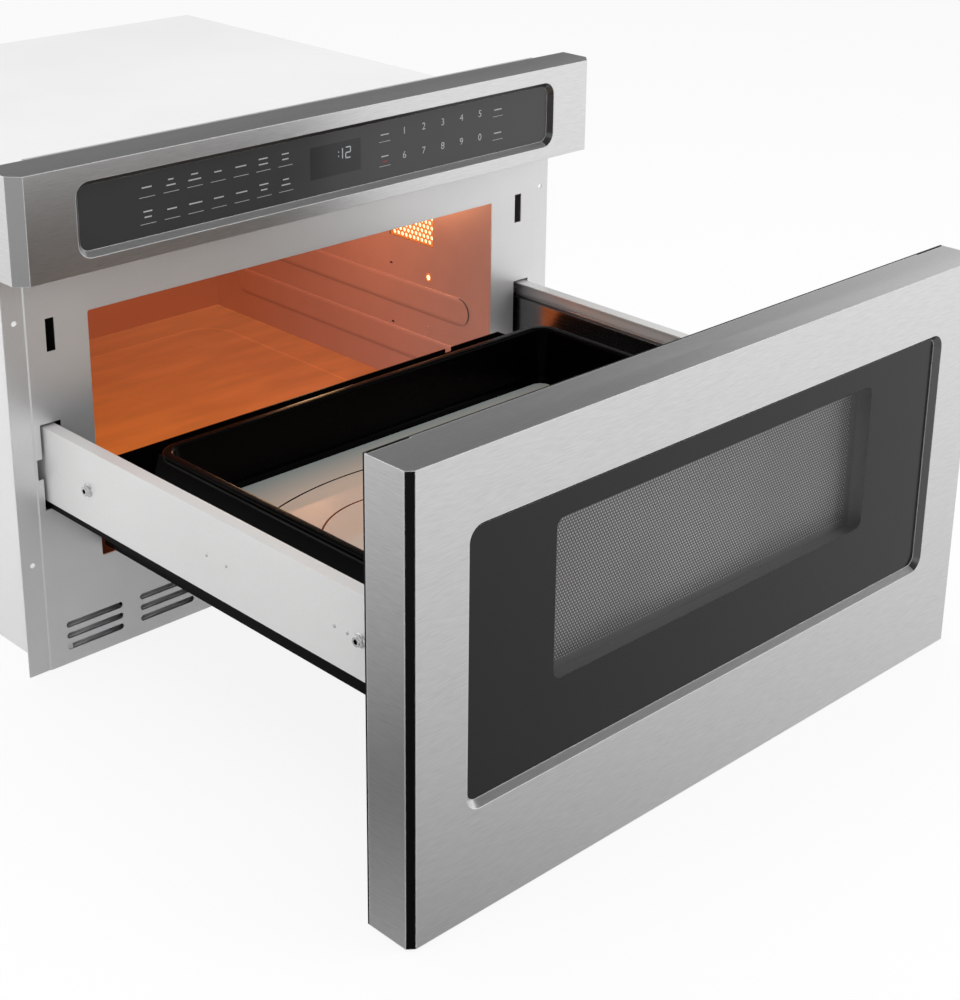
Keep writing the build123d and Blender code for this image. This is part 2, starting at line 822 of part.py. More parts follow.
def power_board():
    # A circuit board on four posts, with relays and a filter can
    low = heavy_sheet + board_post_height
    top = low + board_size[2]
    board = standing(board_place, board_size, low)
    for dx in (-1, 1):
        for dy in (-1, 1):
            x = board_place[0] + dx * (board_size[0] / 2 - board_post_inset)
            y = board_place[1] + dy * (board_size[1] / 2 - board_post_inset)
            board += along_z(Pos(x, y) * few_sided(4, 8), heavy_sheet, low + 0.5)
    for dx in relay_places:
        board += standing(board_place, relay_size, top, (dx + relay_size[0] / 2, 25))
    can = Pos(board_place[0] + board_can_place[0], board_place[1] + board_can_place[1])
    return board + along_z(can * few_sided(board_can_radius), top, top + board_can_height)


def interlock_switch():
    # The left pair of safety switches, beside the slot that the drawer's hook enters
    x = (-hook_slot_x + hook_slot_width / 2 + 1.5, -opening_half_width - cavity_flange - 1)
    block_z = (hook_slot_bottom - 6, hook_slot_top + 4)
    body = block(x, (frame_back, frame_back + 34), block_z)
    middle = (block_z[0] + block_z[1]) / 2
    body -= block((x[0] - 1, x[1] + 1), (frame_back + 12, frame_back + 40), (middle - 1.5, middle + 1.5))
    return body


# Telescopic slides, drawn for the left side

def left_section(points):
    # Turns distances from the centre into the left side's X
    return [(-s, z) for s, z in points]


def track_section(web, reach, half_height, hook, gauge):
    # One slide member: a web, two flanges with a hollow for the balls, and a lip that holds them in.
    # web and reach are distances from the centre; reach is the free end of the flanges.
    turn = 1 if reach > web else -1
    flat = web + turn * 3.0
    points = [
        (reach, slide_mid + half_height - hook),
        (reach - turn * track_lip_width, slide_mid + half_height),
        (flat, slide_mid + half_height),
        (web, slide_mid + half_height - 1.4),
        (web, slide_mid - half_height + 1.4),
        (flat, slide_mid - half_height),
        (reach - turn * track_lip_width, slide_mid - half_height),
        (reach, slide_mid - half_height + hook),
    ]
    if turn > 0:
        points = points[::-1]
    return points


def fixed_track():
    points = track_section(fixed_web, fixed_web + 10.8, slide_height / 2, track_lip_hook, track_gauge)
    return left_section(points)


def middle_track():
    points = track_section(middle_web, middle_web + 8.5, slide_height / 2 - 2 * ball_radius - track_gauge
                           - 2 * running_fit, track_lip_hook, track_gauge)
    return left_section(points)


def drawer_track():
    half = slide_height / 2 - 4 * ball_radius - 2 * track_gauge - 4 * running_fit
    return left_section(track_section(rail_web, rail_web - 7.3, half, track_lip_hook, track_gauge))


def track_solid(points, y_front, length):
    return along_y(band(points, track_gauge), y_front, y_front + length)


def slide_outer():
    return track_solid(fixed_track(), slide_closed_front, slide_length)


def slide_middle():
    return track_solid(middle_track(), slide_closed_front - travel / 2, slide_length)


def slide_inner():
    return track_solid(drawer_track(), slide_closed_front - travel, slide_length)


def ball():
    # Two crossed octagonal bars leave a ball with few faces, which is flat where the tracks touch it
    face = RegularPolygon(ball_radius, 8, major_radius=False, rotation=22.5)
    reach = (-ball_radius, ball_radius)
    return along_x(face, *reach) & along_y(face, *reach)


def ball_cage(row_x, half_height, web, y_centre):
    # A thin channel that spaces two rows of balls, top and bottom; the balls are one with it
    y = (y_centre - cage_length / 2, y_centre + cage_length / 2)
    rows = (slide_mid - half_height, slide_mid + half_height)
    edge = row_x + ball_radius + 0.4
    half = cage_strip / 2
    path = [(-edge, rows[0] - half), (-web - half, rows[0] - half), (-web - half, rows[1] + half),
            (-edge, rows[1] + half)]
    cage = along_y(band(path, cage_strip), *y)
    for place in range(balls_per_row):
        ball_y = y_centre + (place - (balls_per_row - 1) / 2) * ball_pitch
        for z in rows:
            cage += Pos(-row_x, ball_y, z) * ball()
    return cage


def overlap_middle(front_of_ahead, front_of_behind):
    # The middle of the stretch that two slide members share
    return (front_of_behind + front_of_ahead + slide_length) / 2


def ball_cage_outer():
    row = slide_height / 2 - track_gauge - ball_radius - running_fit
    middle = overlap_middle(slide_closed_front - travel / 2, slide_closed_front)
    return ball_cage(outer_row, row, fixed_web + track_gauge + 0.75, middle)


def ball_cage_inner():
    row = slide_height / 2 - 2 * track_gauge - 3 * ball_radius - 3 * running_fit
    middle = overlap_middle(slide_closed_front - travel, slide_closed_front - travel / 2)
    return ball_cage(inner_row, row, middle_web + track_gauge + 0.5, middle)


def slide_bracket():
    # A channel that carries the fixed slide member off the cavity's wall
    web = -fixed_web
    low = slide_mid - slide_height / 2 - bracket_overlap
    high = slide_mid + slide_height / 2 + bracket_overlap
    path = [(-liner_outer, low), (web, low), (web, high), (-liner_outer, high)]
    section = band(path[::-1], heavy_sheet)
    return along_y(section, frame_back + sheet, slide_closed_front + slide_length)


# Drive

def involute(angle):
    return tan(angle) - angle


def pinion_outline():
    # Teeth from the involute of the base circle; a space, not a tooth, stands at the top
    pressure = radians(pressure_angle)
    base = pitch_radius * cos(pressure)
    root = pitch_radius - 1.25 * gear_module
    tip = pitch_radius + gear_module
    half_pitch = pi / (2 * pinion_teeth) - backlash / (2 * pitch_radius)
    flank = [base + (tip - base) * share for share in tooth_flank]
    points = []
    for tooth in range(pinion_teeth):
        centre = pi / 2 + (tooth + 0.5) * 2 * pi / pinion_teeth
        spread = half_pitch + involute(pressure)
        right = [(root, centre - spread)]
        left = []
        for radius in flank:
            half = spread - involute(acos(min(base / radius, 1)))
            right.append((radius, centre - half))
            left.append((radius, centre + half))
        left = left[::-1] + [(root, centre + spread)]
        points += [(r * cos(a), r * sin(a)) for r, a in right + left]
    return outline(points)


def drive_pinion():
    # The pinion with its shaft, which runs in the gearbox
    x = (-pinion_outer, -pinion_outer + pinion_width)
    gear = along_x(Pos(pinion_y, pinion_z) * pinion_outline(), *x)
    return gear + rod_x(x[1] - 1, -liner_outer - 14, pinion_y, pinion_z, drive_shaft_radius)


def rack_outline(y0, y1):
    slope = tan(radians(pressure_angle))
    tip = rack_tip_z
    root = rack_pitch_z + 1.25 * gear_module
    half = pi * gear_module / 4 - backlash / 2
    tip_half = half - slope * gear_module
    root_half = half + slope * 1.25 * gear_module
    pitch = pi * gear_module
    first = ceil((y0 + root_half - pinion_y) / pitch)
    last = int((y1 - root_half - pinion_y) // pitch)
    points = [(y0, rail_bottom), (y0, root)]
    for tooth in range(first, last + 1):
        y = pinion_y + tooth * pitch
        points += [(y - root_half, root), (y - tip_half, tip), (y + tip_half, tip), (y + root_half, root)]
    return outline(points + [(y1, root), (y1, rail_bottom)])


def drawer_rack():
    # A moulded rack under the left rail, with a plain skirt on its outer side that hides the teeth
    y = (door_back + 4, door_back + rail_length - 6)
    outer = -rack_x - rack_width / 2
    teeth = along_x(rack_outline(*y), outer, outer + rack_width)
    return teeth + block((outer - rack_skirt, outer), y, (rack_tip_z, rail_bottom))


def drive_motor():
    # A moulded gearbox on the cavity's left wall, with a motor can behind it
    top = slide_mid - slide_height / 2 - bracket_overlap - 0.5
    bottom = pinion_z - gearbox_drop
    y = (frame_back + 3, frame_back + gearbox_length)
    box_x = (-pinion_outer + pinion_width + 2, -liner_outer)
    face = Pos((y[0] + y[1]) / 2, (bottom + top) / 2) * chorded(y[1] - y[0], top - bottom, 7)
    body = along_x(face, *box_x)
    can = Pos((box_x[0] + box_x[1]) / 2, (bottom + top) / 2)
    can_end = y[1] + drive_can_length
    body += along_y(can * few_sided(drive_can_radius, 16), y[1] - 2, can_end)
    body += along_y(can * few_sided(drive_boss_radius, 8), can_end - 1, can_end + drive_boss_length)
    bore = drive_shaft_radius + running_fit
    return body - rod_x(box_x[0] - 1, -liner_outer - 13.5, pinion_y, pinion_z, bore)


# Drawer body: front, rails and tray

def door_window():
    return (door_window_half, door_window_bottom, door_window_top, window_radius)


def door_skin():
    # The top return steps forward a little at both ends, so that the black rim behind it shows there
    depth = door_depth - door_rim
    skin = formed_front(door_y, door_bottom, door_top, depth, door_chamfer_x, door_chamfer_y, door_window())
    edge = door_y + depth
    for side in (-1, 1):
        x = sorted((side * (half_front - skin_notch_length), side * (half_front - sheet)))
        skin -= block(x, (edge - skin_notch_depth, edge + 1), (door_top - sheet, door_top + 1))
    return skin


def door_glass():
    half, bottom, top, radius = door_window()
    return along_y(window(half - 1, bottom + 1, top - 1, radius), door_y + lip_depth, door_glass_back)


def sight(grow):
    middle = Pos(0, (sight_bottom + sight_top) / 2)
    return middle * Rectangle(2 * (sight_half + grow), sight_top - sight_bottom + 2 * grow)


def window_mesh():
    return along_y(sight(pane_lap), mesh_y, mesh_y + mesh_thickness)


def inner_glass():
    return along_y(sight(pane_lap), door_back - inner_glass_thickness, door_back)


def choke_ring(grow, y0, y1):
    edge = (opening_half_width, opening_bottom, opening_top, opening_radius)
    outer = chorded_window(*edge, grow=choke_inner_margin + choke_width + grow)
    return along_y(outer - chorded_window(*edge, grow=choke_inner_margin - grow), y0, y1)


def door_inner_frame():
    # A drawn steel pan whose back covers the skin's edges. A trough round it traps stray waves, and a
    # collar round the sight window has a ledge for the mesh and one for the inner glass.
    wall = sheet + slip_fit
    half = half_front - wall
    low, high = door_bottom + wall, door_top - wall
    pan = block((-half, half), (door_glass_back, door_back), (low, high))
    pan -= block((-half + sheet, half - sheet), (door_glass_back - 1, door_back - heavy_sheet),
                 (low + sheet, high - sheet))
    pan += block((-half_front, half_front), (door_back - door_rim, door_back), (door_bottom, door_top))
    pan += choke_ring(heavy_sheet, door_back - choke_depth - heavy_sheet, door_back)
    pan -= choke_ring(0, door_back - choke_depth, door_back + 1)
    pan += along_y(sight(pane_lap + heavy_sheet), door_glass_back, door_back)
    pan -= along_y(sight(pane_lap), door_glass_back - 1, door_back + 1)
    for seat in (mesh_y, door_back - inner_glass_thickness):
        pan += along_y(sight(pane_lap) - sight(0), seat - heavy_sheet, seat)
    return pan


def choke_cover():
    return choke_ring(0, door_back - choke_cover_thickness, door_back)


def door_hook():
    # A flat hook, drawn for the left side, with its nose turned up
    low = hook_slot_bottom + 4
    high = hook_slot_top - 8
    nose = door_back + hook_reach
    face = outline([
        (door_back, low), (nose, low), (nose, high + 4), (nose - 8, high + 4), (nose - 11, high - 6),
        (door_back + 8, high - 6), (door_back + 3, high), (door_back, high),
    ])
    return along_x(face, -hook_slot_x - hook_thickness / 2, -hook_slot_x + hook_thickness / 2)


def rail():
    # The left painted rail: a channel open towards the tray, with a tab at its front end
    inner = rail_outer - rail_width
    path = [(-inner, rail_top), (-rail_outer, rail_top), (-rail_outer, rail_bottom), (-inner, rail_bottom)]
    shape = along_y(band(path, heavy_sheet), door_back, door_back + rail_length)
    tab_z = (rail_bottom + 4, rail_top - 4)
    shape += block((-rail_outer + 1, -inner + rail_tab), (door_back, door_back + heavy_sheet), tab_z)
    for mark in rail_screw_places:
        hole = Pos(panel_y + mark, rail_screw_z) * few_sided(screw_shank_radius + running_fit)
        shape -= along_x(hole, -rail_outer - 1, -rail_web + 1)
    return shape


def rail_screws():
    screws = []
    for mark in rail_screw_places:
        screw = hex_screw(screw_across, screw_flange_radius, screw_height, screw_shank_radius,
                          heavy_sheet)
        placed = Pos(-rail_outer, panel_y + mark, rail_screw_z) * screw
        screws += [placed, other_side(placed)]
    return Compound(children=screws)


def tray_shell(half_width, y0, y1, top, bottom, radius):
    # A tapering block with rounded corners, wide at the top
    face = Pos(0, (y0 + y1) / 2) * chorded(2 * half_width, y1 - y0, radius, tray_corner_chords)
    return extrude(Plane.XY.offset(top) * face, amount=top - bottom, dir=(0, 0, -1), taper=tray_draft)


def tray_basin():
    # The dark basin: a flat rim, drafted walls and a level floor
    inner_half = tray_half_width - tray_rim_width
    y0, y1 = tray_front + tray_rim_width, tray_rear - tray_rim_width
    rim = chorded(2 * tray_half_width, tray_length, tray_corner, tray_corner_chords)
    basin = along_z(Pos(0, (tray_front + tray_rear) / 2) * rim, tray_rim - tray_wall, tray_rim)
    basin += tray_shell(inner_half + tray_wall, y0 - tray_wall, y1 + tray_wall, tray_rim,
                        tray_floor - tray_wall, tray_corner - tray_rim_width + tray_wall)
    return basin - tray_shell(inner_half, y0, y1, tray_rim, tray_floor, tray_corner - tray_rim_width)


def ceramic_floor():
    # The pale plate that dishes stand on
    inset = tray_rim_width + ceramic_margin
    face = Pos(0, (tray_front + tray_rear) / 2) * RectangleRounded(
        2 * (tray_half_width - inset), tray_length - 2 * inset, 10)
    return along_z(face, tray_floor, tray_floor + ceramic_thickness)


def tray_carrier():
    # The folded pan under the basin. Its sides run on as low runners into the cavity, and its rear wall,
    # with a notch, stands behind the basin.
    low = carrier_bottom
    rim = tray_rim - tray_wall
    back = frame_y - carrier_back_gap
    runner = frame_y + carrier_runner_reach
    width = (-carrier_side, carrier_side)
    pan = block(width, (door_back, back), (low, low + heavy_sheet))
    pan += block(width, (door_back, door_back + heavy_sheet), (low, rim))
    pan += block(width, (back - heavy_sheet, back), (low, carrier_back_top))
    side_edge = [
        (door_back, low), (runner, low), (runner, low + carrier_runner_height), (back, carrier_back_top),
        (tray_rear, carrier_back_top), (tray_rear - 8, rim), (door_back, rim),
    ]
    side = along_x(outline(side_edge), -carrier_side, -carrier_side + heavy_sheet)
    notch = (carrier_notch_x - carrier_notch_width / 2, carrier_notch_x + carrier_notch_width / 2)
    pan -= block(notch, (back - 2 * heavy_sheet, back + 1),
                 (carrier_back_top - carrier_notch_depth, carrier_back_top + 1))
    return pan + side + other_side(side)


def tray_beams():
    # Two folded beams across the pan that the basin stands on
    beams = []
    low = carrier_bottom + heavy_sheet
    high = tray_floor - tray_wall
    half_length = carrier_side - beam_end_gap
    for share in beam_places:
        section = hat_section(tray_front + tray_length * share, beam_half, beam_foot, low, high)
        beams.append(along_x(section, -half_length, half_length))
    return Compound(children=beams)


def sides(name, shape):
    return {name + "_left": shape, name + "_right": other_side(shape)}


pieces = {
    "front_frame": front_frame(),
    "outer_case": outer_case(),
    "base_pan": base_pan(),
    "rear_cover": rear_cover(),
    "power_inlet": power_inlet(),
    "case_screws": case_screws(),
    "control_fascia": control_fascia(),
    "control_glass": control_glass(),
    "display_module": display_module(),
    "touch_board": touch_board(),
    "panel_bracket": panel_bracket(),
    "cavity_liner": cavity_liner(),
    "lamp_grille": lamp_grille(),
    "lamp_housing": lamp_housing(),
    "lamp_socket": lamp_socket(),
    "cavity_lamp": cavity_lamp(),
    "stirrer_cover": stirrer_cover(),
    "stirrer": stirrer(),
    "waveguide": waveguide(),
    "stirrer_motor": stirrer_motor(),
    "magnetron": magnetron(),
    "fan_shroud": fan_shroud(),
    "fan_motor": fan_motor(),
    "fan_impeller": fan_impeller(),
    "cavity_supports": cavity_supports(),
    "power_transformer": power_transformer(),
    "capacitor": capacitor(),
    "power_board": power_board(),
    "drive_motor": drive_motor(),
    "drive_pinion": drive_pinion(),
    "drawer_rack": drawer_rack(),
    "door_skin": door_skin(),
    "door_glass": door_glass(),
    "window_mesh": window_mesh(),
    "inner_glass": inner_glass(),
    "door_inner_frame": door_inner_frame(),
    "choke_cover": choke_cover(),
    "rail_screws": rail_screws(),
    "tray_basin": tray_basin(),
    "ceramic_floor": ceramic_floor(),
    "tray_carrier": tray_carrier(),
    "tray_beams": tray_beams(),
}
for name, shape in (
    ("interlock_switch", interlock_switch()),
    ("slide_bracket", slide_bracket()),
    ("slide_outer", slide_outer()),
    ("slide_middle", slide_middle()),
    ("slide_inner", slide_inner()),
    ("ball_cage_outer", ball_cage_outer()),
    ("ball_cage_inner", ball_cage_inner()),
    ("rail", rail()),
    ("door_hook", door_hook()),
):
    pieces.update(sides(name, shape))

os.makedirs("parts", exist_ok=True)
for name, shape in pieces.items():
    export_step(shape, f"parts/{name}.step")
print(len(pieces), "pieces")
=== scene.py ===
import bpy
import numpy as np
from functools import partial
from math import cos, pi, radians, sin, sqrt
from mathutils import Matrix, Vector


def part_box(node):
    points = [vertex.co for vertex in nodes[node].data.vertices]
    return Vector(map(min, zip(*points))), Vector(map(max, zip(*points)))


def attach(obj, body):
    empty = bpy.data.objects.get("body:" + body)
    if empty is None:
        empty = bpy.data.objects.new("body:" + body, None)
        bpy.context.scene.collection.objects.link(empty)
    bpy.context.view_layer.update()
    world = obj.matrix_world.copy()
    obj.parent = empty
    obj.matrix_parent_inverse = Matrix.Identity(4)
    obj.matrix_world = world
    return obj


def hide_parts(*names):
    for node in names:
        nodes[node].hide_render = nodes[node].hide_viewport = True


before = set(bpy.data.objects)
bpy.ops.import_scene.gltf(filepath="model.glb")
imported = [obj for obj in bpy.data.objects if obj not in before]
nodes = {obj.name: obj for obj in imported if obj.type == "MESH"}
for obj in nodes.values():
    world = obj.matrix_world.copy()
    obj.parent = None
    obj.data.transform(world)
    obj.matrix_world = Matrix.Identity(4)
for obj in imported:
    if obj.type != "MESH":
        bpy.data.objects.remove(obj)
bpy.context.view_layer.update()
print("frame loaded:", len(nodes), "nodes")

noiseEnds = (0.3, 0.7)  # nearly all of a noise lies between these
middleEnds = (0.35, 0.65)  # its middle part, where more contrast is wanted
bevelSamples = 4
white = (1, 1, 1, 1)
black = (0, 0, 0, 1)


def linear(hexCode):
    # sRGB to linear: c / 12.92 below 0.04045, else ((c + 0.055) / 1.055) to the power 2.4
    parts = [int(hexCode[i:i + 2], 16) / 255 for i in (1, 3, 5)]
    return [c / 12.92 if c <= 0.04045 else ((c + 0.055) / 1.055) ** 2.4 for c in parts] + [1.0]


def twoHex(first, second):
    return {"Color1": linear(first), "Color2": linear(second)}


def span(start, end, first=0, last=1):
    # a value that goes from start to end becomes one that goes from first to last
    return {"From Min": start, "From Max": end, "To Min": first, "To Max": last}


def metres(millimetres):
    return [v / 1000 for v in millimetres]


def connect(node, links):
    # each input is fed by an output, or by a node, whose first output in use is taken
    for name, source in links.items():
        if isinstance(source, bpy.types.Node):
            source = next(output for output in source.outputs if output.enabled)
        node.id_data.links.new(source, node.inputs[name])


def addNode(tree, kind, settings=None, links=None):
    # one node, whose operation follows its kind; a setting goes to the input of that name or number, else to
    # the node itself
    kind, *operation = kind.split()
    node = tree.nodes.new("ShaderNode" + kind)
    if operation:
        node.operation = operation[0]
    for name, value in (settings or {}).items():
        if isinstance(name, int) or name in node.inputs.keys():
            node.inputs[name].default_value = value
        else:
            setattr(node, name, value)
    connect(node, links or {})
    return node


def startMaterial(name, look):
    # a principled shader with the look's fixed values, what adds nodes to it, and the object's coordinates
    material = bpy.data.materials.new(name)
    material.use_nodes = True
    shader = material.node_tree.nodes["Principled BSDF"]
    for socket, value in look.get("fixed", {}).items():
        shader.inputs[socket].default_value = value
    add = partial(addNode, material.node_tree)
    return material, add, shader, add("TexCoord").outputs["Object"]


def setRough(add, shader, pattern, rough, ends=(0, 1)):
    # the roughness goes over its two values as the pattern goes from one end to the other
    value = add("MapRange", span(*ends, *rough), {"Value": pattern})
    connect(shader, {"Roughness": value})


def setBump(add, shader, height, bumpMm, strength=1.0, edgeMm=0.0):
    # bump whose full height is bumpMm, over folded edges that shade as if rounded to edgeMm
    bump = add("Bump", {"Strength": strength, "Distance": bumpMm / 1000}, {"Height": height})
    if edgeMm:
        edge = add("Bevel", {"samples": bevelSamples, "Radius": edgeMm / 1000})
        connect(bump, {"Normal": edge})
    connect(shader, {"Normal": bump})


def grainedMaterial(name, look):
    # noise of a real grain size, stretched along the way it was made, drives colour, roughness and bump;
    # the colour also follows broad patches: 0.55 * fine + 0.45 * broad
    material, add, shader, place = startMaterial(name, look)
    stretched = add("Mapping", {"Scale": look.get("stretch", (1, 1, 1))}, {"Vector": place})
    fine = add("TexNoise", {"Scale": 1000 / look["grainMm"], "Detail": 3.0, "Roughness": 0.6},
               {"Vector": stretched})
    broad = add("TexNoise", {"Scale": 1000 / look.get("patchMm", 90), "Detail": 2.0}, {"Vector": place})
    part = add("Math MULTIPLY", {1: 0.55}, {0: fine})
    both = add("Math MULTIPLY_ADD", {1: 0.45}, {0: broad, 2: part})
    share = add("MapRange", span(*middleEnds), {"Value": both})
    colour = add("MixRGB", twoHex(look["dark"], look["light"]), {"Fac": share})
    connect(shader, {"Base Color": colour})
    setRough(add, shader, fine, look["rough"], noiseEnds)
    setBump(add, shader, fine, look["bumpMm"], edgeMm=look.get("edgeMm", 0.0))
    return material


def dress(material, *names):
    # the material takes the place of what these CAD nodes came with
    for name in names:
        mesh = nodes[name].data
        mesh.materials.clear()
        mesh.materials.append(material)


def sides(name):
    return name + "_left", name + "_right"


def addObject(name, data):
    holder = bpy.data.objects.new(name, data)
    bpy.context.scene.collection.objects.link(holder)
    return holder


def newPiece(name, points, faces, material, body, smooth=False):
    # an object at the origin whose place is in its mesh
    mesh = bpy.data.meshes.new(name)
    mesh.from_pydata(np.asarray(points, float).tolist(), [], [list(map(int, f)) for f in faces])
    mesh.update()
    piece = addObject(name, mesh)
    mesh.materials.append(material)
    if smooth:
        mesh.polygons.foreach_set("use_smooth", np.ones(len(mesh.polygons), bool))
    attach(piece, body)
    return piece


def gridFaces(rows, columns, closed=False):
    # quads between neighbours of a rows by columns grid; where it is closed, its last column joins the first
    row, column = np.meshgrid(np.arange(rows - 1) * columns,
                              np.arange(columns if closed else columns - 1), indexing="ij")
    below, after = row + columns, (column + 1) % columns
    return np.stack([row + column, row + after, below + after, below + column], -1).reshape(-1, 4)


def roundTurn(steps):
    return np.linspace(0, 2 * pi, steps, endpoint=False)


def hexagonReach(turn):
    # how far a hexagon's edge is at angle t, with its flats at 1: 1 / cos(t folded to within 30 degrees)
    return 1 / np.cos((turn + pi / 6) % (pi / 3) - pi / 6)


def turnedPiece(name, spots, profile, turn, material, body, smooth=True, stretch=(1.0, 1.0)):
    # a profile of (rise, radius) in millimetres turned about each spot: a point is side * rise along x, and
    # radius * cos(t) and radius * sin(t), both stretched, along y and z. Side is -1 where a spot faces left,
    # and the faces look outwards on both sides.
    ring = np.stack([np.cos(turn) * stretch[0], np.sin(turn) * stretch[1]], -1)
    points, faces = [], []
    for side, middle in spots:
        grid = np.stack([np.insert(ring * np.reshape(radius, (-1, 1)), 0, side * rise, axis=-1)
                         for rise, radius in profile])
        quads = gridFaces(len(profile), len(turn), closed=True) + len(points)
        faces += (quads[:, ::-1] if side < 0 else quads).tolist()
        points += (grid.reshape(-1, 3) / 1000 + middle).tolist()
    return newPiece(name, points, faces, material, body, smooth)


def lowCorner(node):
    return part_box(node)[0]


def highCorner(node):
    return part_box(node)[1]


def rectangleMask(add, place, x, z, radius, grow=0.0):
    # 1 inside an upright rounded rectangle of (low, high) x and z, widened by grow: there the distance to its
    # inner core is below the radius
    spot = add("SeparateXYZ", links={"Vector": place})
    past = []
    for axis, (low, high) in (("X", x), ("Z", z)):
        off = add("Math SUBTRACT", {1: (low + high) / 2}, {0: spot.outputs[axis]})
        size = add("Math ABSOLUTE", links={0: off})
        core = (high - low) / 2 + grow - radius
        over = add("Math SUBTRACT", {1: core}, {0: size})
        past.append(add("Math MAXIMUM", {1: 0.0}, {0: over}))
    joined = add("CombineXYZ", links={"X": past[0], "Y": past[1]})
    far = add("VectorMath LENGTH", links={0: joined})
    return add("Math LESS_THAN", {1: radius}, {0: far})


# its edge values set a painted pale highlight on folded edges
brushedLook = {
    "dark": "#d9d9d9", "light": "#ececec", "lineMm": 0.36, "lineLengthMm": 12, "rough": (0.28, 0.31),
    "bumpMm": 0.0010, "bumpStrength": 0.6, "topTurn": 0.7, "slantTurn": 0.2, "chamferFromMm": 293,
    "edgeMm": 0.9, "edgeHighlightTurn": (0.995, 0.93), "edgeHighlightShare": 0.9,
    "lipMm": 10, "lipTurn": 0.25, "lipDark": "#262626", "lipShare": 0.85,
    "fixed": {"Anisotropic": 0.35, "Anisotropic Rotation": 0.25},
}


def brushedStainless(name, chamferReflectionHex, chamferReflectionShare, glass):
    # stainless steel brushed along its width: fine level lines, drawn wider than the grit's so that they show
    look = brushedLook
    material, add, shader, place = startMaterial(name, look)
    coords = add("TexCoord")
    normal = add("SeparateXYZ", links={"Vector": coords.outputs["Normal"]})
    across, along = 1000 / look["lineMm"], 1000 / look["lineLengthMm"]
    upright = add("Mapping", {"Scale": (along, along, across)}, {"Vector": place})
    level = add("Mapping", {"Scale": (along, across, along)}, {"Vector": place})
    facing = add("Math ABSOLUTE", links={0: normal.outputs["Z"]})
    onTop = add("Math GREATER_THAN", {1: look["topTurn"]}, {0: facing})
    chosen = add("MixRGB", links={"Fac": onTop, "Color1": upright, "Color2": level})
    lines = add("TexNoise", {"Scale": 1.0, "Detail": 3.0, "Roughness": 0.6}, {"Vector": chosen})
    share = add("MapRange", span(*noiseEnds), {"Value": lines})
    colour = add("MixRGB", twoHex(look["dark"], look["light"]), {"Fac": share})
    # the slanted upright edges get a painted dark reflection: there the normal points both sideways and
    # forwards
    nx = add("Math ABSOLUTE", links={0: normal.outputs["X"]})
    ny = add("Math ABSOLUTE", links={0: normal.outputs["Y"]})
    slanted = add("Math MULTIPLY", links={0: nx, 1: ny})
    isSlanted = add("Math GREATER_THAN", {1: look["slantTurn"]}, {0: slanted})
    spot = add("SeparateXYZ", links={"Vector": place})
    outX = add("Math ABSOLUTE", links={0: spot.outputs["X"]})
    isEdge = add("Math GREATER_THAN", {1: look["chamferFromMm"] / 1000}, {0: outX})
    mask = add("Math MULTIPLY", links={0: isSlanted, 1: isEdge})
    amount = add("Math MULTIPLY", {1: chamferReflectionShare}, {0: mask})
    reflectionDarkened = add("MixRGB", {"Color2": linear(chamferReflectionHex)}, {"Fac": amount, "Color1": colour})
    # the lips round the glass that look down or to the left are in its shade
    lowest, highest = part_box(glass)
    grow = look["lipMm"] / 1000
    nearGlass = rectangleMask(add, place, (lowest.x, highest.x), (lowest.z, highest.z), grow, grow)
    lowerTurn = add("Math MINIMUM", links={0: normal.outputs["X"], 1: normal.outputs["Z"]})
    turned = add("Math LESS_THAN", {1: -look["lipTurn"]}, {0: lowerTurn})
    lip = add("Math MULTIPLY", links={0: nearGlass, 1: turned})
    lipAmount = add("Math MULTIPLY", {1: look["lipShare"]}, {0: lip})
    shaded = add("MixRGB", {"Color2": linear(look["lipDark"])}, {"Fac": lipAmount, "Color1": reflectionDarkened})
    # folded edges get a painted pale highlight, white and less metallic: there the rounded normal leans away
    # from the face's own
    rounded = add("Bevel", {"samples": bevelSamples, "Radius": look["edgeMm"] / 1000})
    own = add("NewGeometry")
    agree = add("VectorMath DOT_PRODUCT", links={0: rounded, 1: own.outputs["Normal"]})
    start, full = look["edgeHighlightTurn"]
    fold = add("MapRange", span(start, full, 0, look["edgeHighlightShare"]), {"Value": agree})
    edgeHighlighted = add("MixRGB", {"Color2": white}, {"Fac": fold, "Color1": shaded})
    metal = add("Math SUBTRACT", {0: 1.0}, {1: fold})
    connect(shader, {"Base Color": edgeHighlighted, "Metallic": metal})
    setRough(add, shader, lines, look["rough"], noiseEnds)
    setBump(add, shader, lines, look["bumpMm"], look["bumpStrength"], look["edgeMm"])
    return material


# the colour and share after each name are the painted dark reflection on the slanted upright edges
dress(brushedStainless("stainlessBrushedDoor", "#1a1a1a", 1.0, "door_glass"), "door_skin")
dress(brushedStainless("stainlessBrushedPanel", "#959595", 0.8, "control_glass"), "control_fascia")

# zinc-coated sheet, passivated clear: neutral grey with soft reflections and a faint cloudy spangle
frameZinc = grainedMaterial("zincCoatedSheet", {
    "dark": "#e6e6e7", "light": "#eeeeee", "grainMm": 1.2, "patchMm": 60, "rough": (0.34, 0.42),
    "bumpMm": 0.004, "edgeMm": 0.7, "fixed": {"Metallic": 0.6}})
dress(frameZinc, "front_frame", "panel_bracket")

# white coil-coated sheet: matt, almost without grain
caseWhite = grainedMaterial("whiteCoatedSheet", {
    "dark": "#e4e4e4", "light": "#eaeaea", "grainMm": 1.5, "patchMm": 150, "rough": (0.5, 0.6),
    "bumpMm": 0.006, "fixed": {"Specular IOR Level": 0.3}})
dress(caseWhite, "outer_case", "base_pan", "rear_cover")

# powder-coated steel: pale, with a very fine orange-peel skin
railPaint = grainedMaterial("powderCoatedSteel", {
    "dark": "#ededec", "light": "#f2f2f1", "grainMm": 1.6, "patchMm": 120, "rough": (0.34, 0.42),
    "bumpMm": 0.004, "edgeMm": 0.5, "fixed": {"Metallic": 0.4, "Specular IOR Level": 0.4}})
dress(railPaint, *sides("rail"))

